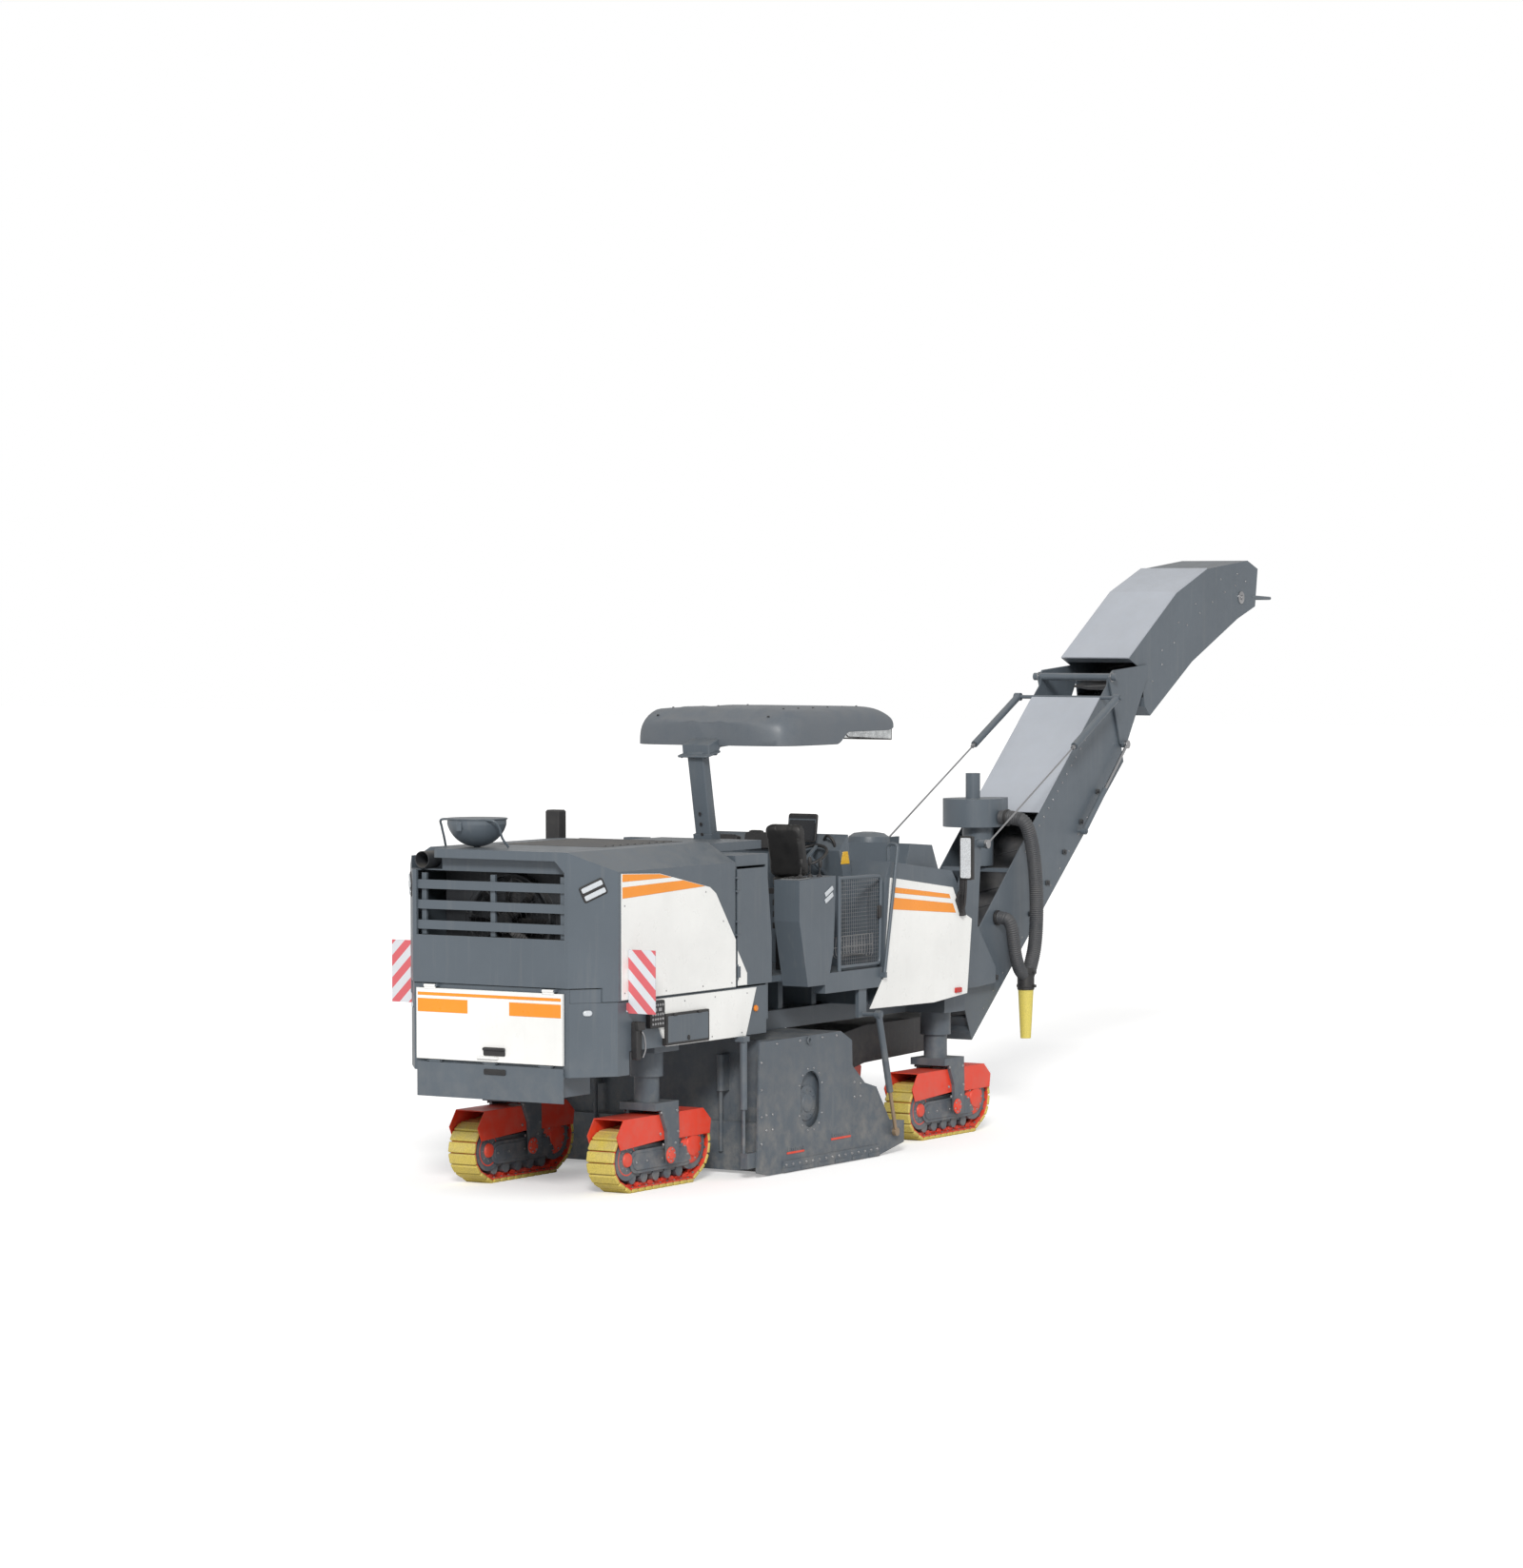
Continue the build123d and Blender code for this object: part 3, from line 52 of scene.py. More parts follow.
X_AXIS, Y_AXIS, Z_AXIS = np.eye(3)
scene = bpy.context.scene

# %% [markdown]
# ## Camera
# A long lens far behind the machine's right rear corner keeps its long sides nearly parallel. The two shift
# values slide the view sideways and up instead of turning the camera, so upright edges stay nearly upright.

# %% Camera
eye = bpy.data.objects.new("camera", bpy.data.cameras.new("camera"))
eye.location = (-43.333, -25.698, 5.262)
eye.rotation_euler = (math.radians(90 - 3.155), 0, math.radians(31.418 - 90))
eye.data.lens = 114.93
eye.data.sensor_width = 36
eye.data.shift_x, eye.data.shift_y = -0.0537, 0.0604
eye.data.clip_end = 400
scene.collection.objects.link(eye)
scene.camera = eye
print("camera at", tuple(eye.location))

# %% [markdown]
# ## Building shader networks
# A shader network is easier to read as a list of lines than as clicks. `wire` adds one node and fills its
# inputs: a number sets the socket and another node's output is linked to it.

# %% Shader helper
def fill(tree, node, inputs):
    """Sets each named or numbered socket to a value, or links it to an output."""
    for socket, value in dict(inputs).items():
        if isinstance(value, bpy.types.NodeSocket):
            tree.links.new(value, node.inputs[socket])
        else:
            node.inputs[socket].default_value = value


def wire(tree, kind, inputs=(), out=0, **settings):
    """Adds one node, fills its inputs and returns output `out`."""
    node = tree.nodes.new("ShaderNode" + kind)
    for name, value in settings.items():
        setattr(node, name, value)
    fill(tree, node, inputs)
    return node.outputs[out]


def sums(tree, operation, first, second=0.0, clamp=False):
    """One Math node."""
    return wire(tree, "Math", {0: first, 1: second}, operation=operation, use_clamp=clamp)


def remap(tree, value, low, high, to_low=0.0, to_high=1.0):
    """Stretches value from low..high to to_low..to_high, clamped."""
    return wire(tree, "MapRange", {"Value": value, "From Min": low, "From Max": high,
                                   "To Min": to_low, "To Max": to_high})


def noise(tree, place, scale, detail, rough=0.5):
    """Soft blotches of a given scale."""
    return wire(tree, "TexNoise", {"Vector": place, "Scale": scale, "Detail": detail, "Roughness": rough})


def blend_colour(tree, amount, first, second):
    """Mixes two colours by amount."""
    return wire(tree, "Mix", {0: amount, 6: first, 7: second}, out=2, data_type="RGBA")


def soft_normal(tree):
    """The surface direction rounded off at edges, as a bent sheet or a broken corner has it."""
    return wire(tree, "Bevel", {"Radius": 0.006}, samples=4)


def flat_normal(tree):
    """The plain surface direction."""
    return wire(tree, "NewGeometry", out=1)


def new_group(name, inputs):
    """A node group with named inputs and the outputs every finish needs; returns it and its inputs."""
    tree = bpy.data.node_groups.new(name, "ShaderNodeTree")
    for socket, kind, value in inputs:
        made = tree.interface.new_socket(socket, in_out="INPUT", socket_type="NodeSocket" + kind)
        made.default_value = value
    for socket, kind in (("Colour", "Color"), ("Roughness", "Float"), ("Normal", "Vector")):
        tree.interface.new_socket(socket, in_out="OUTPUT", socket_type="NodeSocket" + kind)
    return tree, tree.nodes.new("NodeGroupInput").outputs


def close_group(tree, colour, rough, skin):
    """Links the group's results to its output node."""
    fill(tree, tree.nodes.new("NodeGroupOutput"), {"Colour": colour, "Roughness": rough, "Normal": skin})
    print("group", tree.name, len(tree.nodes), "nodes")
    return tree


print("shader helpers ready")

# %% [markdown]
# ## Weathered paint
# Sheet steel on a road machine is never one flat colour. The lacquer varies a little from panel to panel,
# pale road dust settles on faces that look up and near the ground, corners rub down to a lighter edge, and
# a sprayed coat has a faint orange peel. One group makes all of that, and every painted metal uses it with
# its own values. Rounding the shading normal at edges also gives the folded corners of the CAD panels a
# highlight.

# %% Weathered paint group
DUST = (0.37, 0.34, 0.30, 1)
tree, given = new_group(
    "Weathered paint",
    [("Colour", "Color", (0.5, 0.5, 0.5, 1)), ("Edge colour", "Color", (0.4, 0.4, 0.4, 1)),
     ("Dust", "Float", 0.3), ("Wear", "Float", 0.3), ("Roughness", "Float", 0.4), ("Peel", "Float", 0.3)])
place = wire(tree, "TexCoord", out=3)
broad = noise(tree, place, 1.1, 5.0, 0.6)
patches = noise(tree, place, 7.0, 6.0, 0.65)
fine = noise(tree, place, 160.0, 3.0)
streaks = noise(tree, wire(tree, "Mapping", {"Vector": place, "Scale": (16.0, 16.0, 0.9)}), 1.0, 4.0, 0.6)
facing = wire(tree, "SeparateXYZ", {0: flat_normal(tree)}, out=2)
height = wire(tree, "SeparateXYZ", {0: place}, out=2)
toned = wire(tree, "HueSaturation",
             {"Color": given["Colour"], "Value": remap(tree, broad, 0.3, 0.7, 0.93, 1.06)})
settled = sums(tree, "MULTIPLY", remap(tree, facing, 0.3, 0.95), remap(tree, patches, 0.35, 0.7, 0.15, 0.9))
splashed = sums(tree, "MULTIPLY", remap(tree, height, 1.5, 0.1), remap(tree, patches, 0.42, 0.68))
run_down = sums(tree, "MULTIPLY", remap(tree, streaks, 0.55, 0.75), 0.35)
dusty = sums(tree, "MAXIMUM", sums(tree, "MAXIMUM", settled, splashed), run_down)
dusty = sums(tree, "MULTIPLY", dusty, given["Dust"], clamp=True)
soft = soft_normal(tree)
bend = wire(tree, "VectorMath", {0: soft, 1: flat_normal(tree)}, operation="DOT_PRODUCT", out=1)
rubbed = sums(tree, "MULTIPLY", remap(tree, bend, 0.97, 0.80), remap(tree, patches, 0.45, 0.62, 0.15, 1.0))
rubbed = sums(tree, "MULTIPLY", rubbed, given["Wear"], clamp=True)
colour = blend_colour(tree, rubbed, blend_colour(tree, dusty, toned, DUST), given["Edge colour"])
rough = sums(tree, "ADD", given["Roughness"], remap(tree, patches, 0.3, 0.7, -0.06, 0.08))
rough = sums(tree, "ADD", rough, sums(tree, "MULTIPLY", dusty, 0.35), clamp=True)
skin = wire(tree, "Bump", {"Strength": given["Peel"], "Distance": 0.0008, "Height": fine, "Normal": soft})
WEATHERED = close_group(tree, colour, rough, skin)

# %% [markdown]
# ## Grain
# Moulded plastic, rubber and leather share one idea: a fine pebbled relief with slightly paler high spots.
# The group takes the grain's size, so the same network serves a hose, a canopy and a seat.

# %% Grain group
tree, given = new_group(
    "Pebbled grain",
    [("Colour", "Color", (0.05, 0.05, 0.05, 1)), ("Scale", "Float", 300.0), ("Relief", "Float", 0.4),
     ("Dust", "Float", 0.2), ("Roughness", "Float", 0.6)])
place = wire(tree, "TexCoord", out=3)
cells = wire(tree, "TexVoronoi", {"Vector": place, "Scale": given["Scale"]}, feature="SMOOTH_F1")
blotches = noise(tree, place, 6.0, 6.0, 0.65)
facing = wire(tree, "SeparateXYZ", {0: flat_normal(tree)}, out=2)
settled = sums(tree, "MULTIPLY", remap(tree, facing, -0.2, 0.9, 0.25, 1.0), remap(tree, blotches, 0.35, 0.7))
settled = sums(tree, "MULTIPLY", settled, given["Dust"], clamp=True)
high = wire(tree, "HueSaturation",
            {"Color": given["Colour"], "Value": remap(tree, cells, 0.0, 0.6, 1.2, 0.8)})
rough = sums(tree, "ADD", given["Roughness"], remap(tree, blotches, 0.3, 0.7, -0.08, 0.1), clamp=True)
skin = wire(tree, "Bump", {"Strength": given["Relief"], "Distance": 0.001, "Height": cells,
                           "Normal": soft_normal(tree)})
GRAIN = close_group(tree, blend_colour(tree, settled, high, DUST), rough, skin)

# %% [markdown]
# ## The finishes
# Each finish is a Principled shader fed by one of the groups. Values that are the same all over, such as a
# metal's Metallic, sit on the shader's own sockets.

# %% Finishes
def finish(name, group, values, **shader):
    """A material: one group's colour, roughness and normal into a Principled shader."""
    made = bpy.data.materials.new(name)
    made.use_nodes = True
    network = made.node_tree
    part = network.nodes.new("ShaderNodeGroup")
    part.node_tree = group
    fill(network, part, values)
    fill(network, network.nodes["Principled BSDF"],
         {"Base Color": part.outputs["Colour"], "Roughness": part.outputs["Roughness"],
          "Normal": part.outputs["Normal"],
          **{key.replace("_", " "): value for key, value in shader.items()}})
    return made


def paint(name, colour, edge=(0.3, 0.3, 0.3), dust=0.25, wear=0.35, rough=0.38, peel=0.25, **shader):
    """Painted or bare metal."""
    return finish(name, WEATHERED, {"Colour": (*colour, 1), "Edge colour": (*edge, 1), "Dust": dust,
                                    "Wear": wear, "Roughness": rough, "Peel": peel}, **shader)


def moulded(name, colour, scale=300.0, relief=0.3, dust=0.2, rough=0.6, **shader):
    """Plastic, rubber, glass or leather."""
    return finish(name, GRAIN, {"Colour": (*colour, 1), "Scale": scale, "Relief": relief, "Dust": dust,
                                "Roughness": rough}, **shader)


SLATE = paint("slate_paint", (0.098, 0.120, 0.143), (0.25, 0.27, 0.29))
SLATE_FRAME = paint("slate_frame_paint", (0.092, 0.112, 0.134), (0.22, 0.24, 0.26), 0.4, 0.5, 0.45)
WHITE = paint("white_paint", (0.86, 0.865, 0.85), (0.6, 0.6, 0.58), 0.10, 0.1, 0.3)
ORANGE = paint("orange_film", (0.90, 0.30, 0.022), (0.9, 0.5, 0.2), 0.08, 0.0, 0.3)
RED = paint("red_paint", (0.78, 0.050, 0.018), (0.45, 0.2, 0.15), 0.22, 0.5, 0.4)
DARK = paint("dark_metal", (0.035, 0.038, 0.043), (0.12, 0.12, 0.12), 0.35, 0.4, 0.5)
BARE = paint("bare_steel", (0.42, 0.42, 0.43), (0.6, 0.6, 0.6), 0.2, 0.4, 0.32, Metallic=1.0)
COVER = paint("silver_cover", (0.40, 0.43, 0.48), (0.6, 0.6, 0.62), 0.15, 0.3, 0.42)
ROD = paint("bronzed_rod", (0.36, 0.26, 0.17), (0.5, 0.45, 0.4), 0.25, 0.2, 0.35, Metallic=0.6)
CAST = paint("worn_casting", (0.10, 0.09, 0.085), (0.35, 0.33, 0.31), 0.5, 0.9, 0.6)
PAD = moulded("yellow_pad", (0.66, 0.52, 0.10), 120.0, 0.35, 0.55, 0.62)
NOZZLE = moulded("yellow_nozzle", (0.74, 0.62, 0.13), 200.0, 0.15, 0.2, 0.5)
RUBBER = moulded("hose_rubber", (0.060, 0.064, 0.072), 260.0, 0.3, 0.18, 0.55)
BLACK = moulded("black_plastic", (0.022, 0.022, 0.024), 420.0, 0.25, 0.12, 0.5)
CANOPY = moulded("canopy_plastic", (0.115, 0.135, 0.158), 500.0, 0.15, 0.15, 0.45)
LEATHER = moulded("seat_leather", (0.018, 0.018, 0.019), 340.0, 0.6, 0.10, 0.5)
LENS_RED = moulded("red_lens", (0.55, 0.02, 0.015), 500.0, 0.1, 0.05, 0.15)
LENS_CLEAR = moulded("clear_lens", (0.62, 0.66, 0.70), 260.0, 0.2, 0.05, 0.12)
LENS_AMBER = moulded("amber_lens", (0.85, 0.25, 0.02), 500.0, 0.1, 0.05, 0.2)
YELLOW = moulded("yellow_reflector", (0.80, 0.46, 0.02), 160.0, 0.3, 0.05, 0.25)
SCREEN = moulded("dark_screen", (0.012, 0.014, 0.018), 900.0, 0.02, 0.05, 0.12)
GREY_FACE = moulded("grey_facia", (0.25, 0.26, 0.27), 700.0, 0.1, 0.15, 0.5)
# painted reflection: the mirror pane's pale blue-grey colour stands in for what silvered glass reflects
MIRROR_PAINTED_REFLECTION = moulded("mirror_painted_reflection", (0.72, 0.75, 0.78), 100.0, 0.03, 0.06, 0.06)
PANE = moulded("roof_pane", (0.92, 0.94, 0.95), 20.0, 0.01, 0.01, 0.05, Transmission_Weight=0.9)
print("finishes", len(bpy.data.materials))

# %% [markdown]
# ## Striped warning film
# Warning boards carry slanted red and white bars. The fraction of a slanted coordinate, cut off at one
# half, makes the bars, so they stay crisp at any distance.

# %% Striped warning film
BAR_PAIR = 0.200  # metres of slanted coordinate to one red and one white bar


def striped_film():
    """Red and white bars at 45 degrees: the fraction of (z + |y|) over one pair of bars, cut at one half."""
    made = paint("striped_film", (0.8, 0.8, 0.8), dust=0.12, wear=0.2)
    network = made.node_tree
    axes = wire(network, "SeparateXYZ", {0: wire(network, "TexCoord", out=3)}).node.outputs
    slanted = sums(network, "ADD", axes[2], sums(network, "ABSOLUTE", axes[1]))
    phase = sums(network, "FRACT", sums(network, "MULTIPLY", slanted, 1 / BAR_PAIR))
    bars = sums(network, "GREATER_THAN", phase, 0.5)
    colour = blend_colour(network, bars, (0.66, 0.13, 0.15, 1), (0.66, 0.68, 0.72, 1))
    group = next(node for node in network.nodes if node.type == "GROUP")
    fill(network, group, {"Colour": colour})
    return made


STRIPED = striped_film()
print("warning film ready")

# %% [markdown]
# ## Dressing the CAD nodes
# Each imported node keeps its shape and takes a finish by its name; the longest matching beginning wins.

# %% Dress the nodes
DRESS = {
    SLATE_FRAME: ("leg", "chassis_frame", "drum_housing", "side_plate", "edge_barrel", "scraper_blade"),
    SLATE: ("rear_louvres", "strobe_bowl", "operator_deck", "suction_unit"),
    WHITE: ("rear_door", "hood_side_panels", "side_panels"),
    RED: ("track", "fender"),
    DARK: ("engine_block", "radiator", "exhaust_pipe", "primary_conveyor"),
    BLACK: ("cooling_fan", "seat_base", "mirrors"),
    BARE: ("lift_rods", "fold_rods"),
    COVER: ("lower_cover", "upper_cover"),
    LEATHER: ("seat",), CANOPY: ("canopy_roof",), STRIPED: ("warning_panels",), CAST: ("milling_drum",),
    ROD: ("edge_rod",), RUBBER: ("suction_hoses",), NOZZLE: ("dust_nozzle",),
}
FINISH_OF = {start: finish_here for finish_here, starts in DRESS.items() for start in starts}
for node_name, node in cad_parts.items():
    match = max((start for start in FINISH_OF if node_name.startswith(start)), key=len, default=None)
    for holder in node.material_slots:
        holder.material = FINISH_OF.get(match, SLATE)
print("dressed", len(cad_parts), "nodes")

# %% [markdown]
# ## Surfaces from formulas
# Small parts of a machine are stampings, turnings and bent tube. Each kind is one formula: an outline
# pushed along a line, a profile turned round an axis, or a circle carried along a route. The functions
# below return points and faces as whole arrays, so many like parts can be joined into one piece before
# Blender sees them.

# %% Surface helpers
def ring_faces(rows, columns, wrap=False):
    """Quads between neighbouring rows of points; columns always close on themselves."""
    i, j = np.meshgrid(np.arange(rows if wrap else rows - 1), np.arange(columns), indexing="ij")
    right = (j + 1) % columns
    upper = (i + 1) % rows
    quads = np.stack([i * columns + j, i * columns + right, upper * columns + right, upper * columns + j], -1)
    return [tuple(int(k) for k in quad) for quad in quads.reshape(-1, 4)]


def stacked(rings, wrap=False):
    """Points and faces of rings P[k, j, xyz], capped by an n-gon at each end unless they wrap round."""
    rings = np.asarray(rings, float)
    count, columns = rings.shape[:2]
    faces = ring_faces(count, columns, wrap)
    if not wrap:
        faces.append(tuple(range(columns - 1, -1, -1)))
        faces.append(tuple(range((count - 1) * columns, count * columns)))
    return rings.reshape(-1, 3), faces


def joined(parts):
    """Many (points, faces) pairs as one."""
    points, faces, base = [], [], 0
    for part_points, part_faces in parts:
        points.append(part_points)
        faces += [tuple(k + base for k in face) for face in part_faces]
        base += len(part_points)
    return np.concatenate(points), faces


def frame_for(direction):
    """Two unit vectors square to a direction and to each other, as u x v = direction."""
    w = np.asarray(direction, float)
    w = w / np.linalg.norm(w)
    hint = np.array([1.0, 0, 0] if abs(w[2]) > 0.95 else [0, 0, 1.0])
    u = np.cross(hint, w)
    u /= np.linalg.norm(u)
    return u, np.cross(w, u), w


def turned(profile, centre, axis=UP, sides=32):
    """A profile of (radius, height) pairs turned round an axis: P = c + r(cos t u + sin t v) + h w."""
    u, v, w = frame_for(axis)
    t = np.arange(sides) / sides * TAU
    profile = np.asarray(profile, float)
    around = np.cos(t)[:, None] * u + np.sin(t)[:, None] * v
    rings = profile[:, 0, None, None] * around + profile[:, 1, None, None] * w + np.asarray(centre, float)
    return stacked(rings)


def slab(outline, origin, u, v, thick, bevel=0.002):
    """A plate: an outline of (a, b) pairs at origin + a u + b v, pushed along u x v, its rims chamfered."""
    flat = np.asarray(outline, float)
    u, v = np.asarray(u, float), np.asarray(v, float)
    w = np.cross(u, v)
    area = 0.5 * np.sum(flat[:, 0] * np.roll(flat[:, 1], -1) - np.roll(flat[:, 0], -1) * flat[:, 1])
    if area < 0:
        flat = flat[::-1]
    before, after = flat - np.roll(flat, 1, 0), np.roll(flat, -1, 0) - flat
    normal = np.stack([before[:, 1], -before[:, 0]], -1) / np.linalg.norm(before, axis=1)[:, None]
    normal = normal + np.stack([after[:, 1], -after[:, 0]], -1) / np.linalg.norm(after, axis=1)[:, None]
    normal /= np.maximum(np.sum(normal * normal, 1, keepdims=True) / 2, 0.3)
    inner = flat - normal * bevel
    levels = [(inner, 0.0), (flat, bevel), (flat, thick - bevel), (inner, thick)]
    rings = [np.asarray(origin, float) + ring[:, :1] * u + ring[:, 1:] * v + rise * w
             for ring, rise in levels]
    return stacked(rings)


def rounded(width, height, radius, steps=5):
    """The outline of a rectangle with round corners, centred on zero."""
    t = np.linspace(0, np.pi / 2, steps)
    corners = []
    for k, (a, b) in enumerate(((1, 1), (-1, 1), (-1, -1), (1, -1))):
        angle = t + k * np.pi / 2
        corners.append(np.stack([a * (width / 2 - radius) + radius * np.cos(angle),
                                 b * (height / 2 - radius) + radius * np.sin(angle)], -1))
    return np.concatenate(corners)


def plate(size, centre, u, thick, bevel, v=UP):
    """A chamfered plate with round corners; size is width along u, height along v and corner radius."""
    return slab(rounded(*size), centre, u, v, thick, bevel)


def smooth_route(points, steps=10):
    """A Catmull-Rom curve through the points, steps samples to each span."""
    p = np.asarray(points, float)
    whole = np.concatenate([[2 * p[0] - p[1]], p, [2 * p[-1] - p[-2]]])
    t = (np.arange(steps) / steps)[None, :, None]
    a, b, c, d = (q[:, None, :] for q in (whole[:-3], whole[1:-2], whole[2:-1], whole[3:]))
    curve = 0.5 * (2 * b + (c - a) * t + (2 * a - 5 * b + 4 * c - d) * t**2 + (3 * b - a - 3 * c + d) * t**3)
    return np.concatenate([curve.reshape(-1, 3), p[-1:]])


def tube(route, radius, sides=12, closed=False):
    """A circle carried along a route; radius may be one number or one for each point of the route."""
    route = np.asarray(route, float)
    along = np.roll(route, -1, 0) - np.roll(route, 1, 0) if closed else np.gradient(route, axis=0)
    along /= np.linalg.norm(along, axis=1)[:, None]
    u = frame_for(along[0])[0]
    across = []
    for w in along:
        u = u - np.dot(u, w) * w
        u /= np.linalg.norm(u)
        across.append(u.copy())
    across = np.array(across)
    other = np.cross(along, across)
    t = np.arange(sides) / sides * TAU
    radius = np.broadcast_to(np.asarray(radius, float), (len(route),))
    around = np.cos(t)[None, :, None] * across[:, None, :] + np.sin(t)[None, :, None] * other[:, None, :]
    return stacked(route[:, None, :] + radius[:, None, None] * around, wrap=closed)


def circle(centre, u, v, radius, count):
    """Points of a closed circle in the plane of u and v."""
    t = np.linspace(0, TAU, count)[:-1, None]
    return np.asarray(centre) + radius * (np.cos(t) * u + np.sin(t) * v)


def bolt(centre, axis, size=0.012):
    """A hexagon head with its washer, standing on a face: six-sided and chamfered at the top."""
    head = turned([(size * 0.9, 0.0), (size * 0.9, size * 0.55), (size * 0.72, size * 0.7)],
                  np.asarray(centre) + np.asarray(axis, float) * size * 0.15, axis, 6)
    return joined([turned([(size * 1.3, 0), (size * 1.3, size * 0.18)], centre, axis, 14), head])


def bolt_ring(hub, radius, count, side, lift, size, start=0.0):
    """Bolts evenly round a hub whose axis is Y, their heads `lift` outside the hub's centre."""
    return [bolt(hub + np.array([radius * math.cos(t), side * lift, radius * math.sin(t)]), (0, side, 0),
                 size) for t in TAU * np.arange(count) / count + start]


def piece(name, part, finish_used, body="machine_body", smooth=35.0):
    """One Blender object of a part or a list of parts, shaded smooth below an angle and riding a body."""
    points, faces = joined(part) if isinstance(part, list) else part
    mesh = bpy.data.meshes.new(name)
    mesh.from_pydata(np.asarray(points).tolist(), [], faces)
    mesh.update()
    form = bmesh.new()
    form.from_mesh(mesh)
    bmesh.ops.recalc_face_normals(form, faces=form.faces)
    for edge in form.edges:
        edge.smooth = len(edge.link_faces) == 2 and edge.calc_face_angle(0) < math.radians(smooth)
    for face in form.faces:
        face.smooth = True
    form.to_mesh(mesh)
    form.free()
    made = bpy.data.objects.new(name, mesh)
    made.data.materials.append(finish_used)
    scene.collection.objects.link(made)
    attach(made, body)
    return made


print("surface helpers ready")

# %% [markdown]
# ## Crawler chains
# A crawler is an endless chain of steel links, each carrying a rubber-like pad bolted to its plate so that
# the machine doesn't mark fresh asphalt. The loop is the hull of the idler, the sprocket and the ground
# run. Walking along the hull in equal steps of one link gives every pad its place and its tilt.

# %% Crawler loops
TRACK_Y = 0.756
PADS = 34
PAD_THICK, PAD_ROOT = 0.034, 0.044  # a pad's own thickness, and its plate's depth below the pad's face
LINK_ROWS, BOLT_ROWS = (-0.062, 0.062), (-0.108, 0.108)
TRACK_ENDS = (-0.7975, 0.7975)  # rear and front of a crawler from its middle
IDLER, SPROCKET = (0.26, 0.30, 0.26), (-0.295, 0.345, 0.295)  # from the rear and the front end: x, z, radius
LEGS = [(f"{end}_{side_name}", middle, side) for end, middle in (("rear", -5.902), ("front", -0.762))
        for side_name, side in SIDES]


def loop_path(middle):
    """Equal steps along the hull of four circles: points (x, z), outward normals and the step length."""
    rear, front = (middle + end for end in TRACK_ENDS)
    circles = np.array([(rear + IDLER[0], *IDLER[1:]), (front + SPROCKET[0], *SPROCKET[1:]),
                        (rear + 0.29, 0.06, 0.06), (front - 0.32, 0.06, 0.06)])
    t = np.linspace(0, TAU, 1441)[:-1]
    support = circles[:, 0, None] * np.cos(t) + circles[:, 1, None] * np.sin(t) + circles[:, 2, None]
    best = np.argmax(support, 0)
    hull = circles[best, :2] + circles[best, 2:] * np.stack([np.cos(t), np.sin(t)], -1)
    closed = np.concatenate([hull, hull[:1]])
    run = np.concatenate([[0], np.cumsum(np.linalg.norm(np.diff(closed, axis=0), axis=1))])
    at = (np.arange(PADS) + 0.5) / PADS * run[-1]
    where, ahead, behind = (np.stack([np.interp(spots % run[-1], run, closed[:, k]) for k in (0, 1)], -1)
                            for spots in (at, at + 0.01, at - 0.01))
    along = (ahead - behind) / np.linalg.norm(ahead - behind, axis=1)[:, None]
    return where, np.stack([along[:, 1], -along[:, 0]], -1), run[-1] / PADS


def crawler(name, middle, side):
    """Pads, grouser plates, link rows and bolts of one crawler, laid round its loop."""
    places, outward, step = loop_path(middle)
    body = f"leg_{name}_body"
    pads, plates, links, bolts = [], [], [], []
    for (x, z), (nx, nz) in zip(places, outward):
        out, along = np.array([nx, 0, nz]), np.array([nz, 0, -nx])
        spot = np.array([x, side * TRACK_Y, z])
        under, link = spot - out * PAD_THICK, spot - out * PAD_ROOT
        level = np.cross(out, along)
        pads.append(plate((step * 0.86, 0.292, 0.014), under, along, PAD_THICK, 0.009, level))
        plates.append(plate((step * 0.94, 0.276, 0.006), link, along, 0.010, 0.002, level))
        for row in LINK_ROWS:
            base = link + np.array([0, row, 0])
            links.append(slab([(-step * 0.52, 0.0), (-step * 0.30, -0.036), (step * 0.22, -0.036),
                               (step * 0.50, -0.004), (step * 0.50, 0.0)],
                              base + np.array([0, 0.014, 0]), along, out, 0.028, 0.003))
            links.append(turned([(0.013, -0.020), (0.013, 0.020)], base - out * 0.018 + along * step * 0.35,
                                (0, 1, 0), 10))
        for row in BOLT_ROWS:
            bolts.append(bolt(link + np.array([0, row, 0]), -out, 0.010))
    piece(f"pads_{name}", pads, PAD, body)
    chain = piece(f"chain_{name}", plates + links, RED, body)
    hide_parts(f"track_{name}")
    piece(f"pad_bolts_{name}", bolts, CAST, body)


for leg in LEGS:
    crawler(*leg)
print("crawlers with", PADS, "pads each, one pad every", round(loop_path(0)[2], 3), "m")

# %% [markdown]
# ## Track frames
# Inside each loop a fabricated frame joins the idler to the drive. Its face is a long capsule of plate with
# a raised rim, the travel motor's gearcase bulges out at the sprocket, and a dished cover closes the idler.
# The pin that the frame rocks on has an end plate with keeper bolts.

# %% Track frames
def capsule(length, radius, steps=12):
    """The outline of a long hole: two half circles joined by straight runs."""
    t = np.linspace(-np.pi / 2, np.pi / 2, steps)
    right = np.stack([length / 2 - radius + radius * np.cos(t), radius * np.sin(t)], -1)
    return np.concatenate([right, -right])


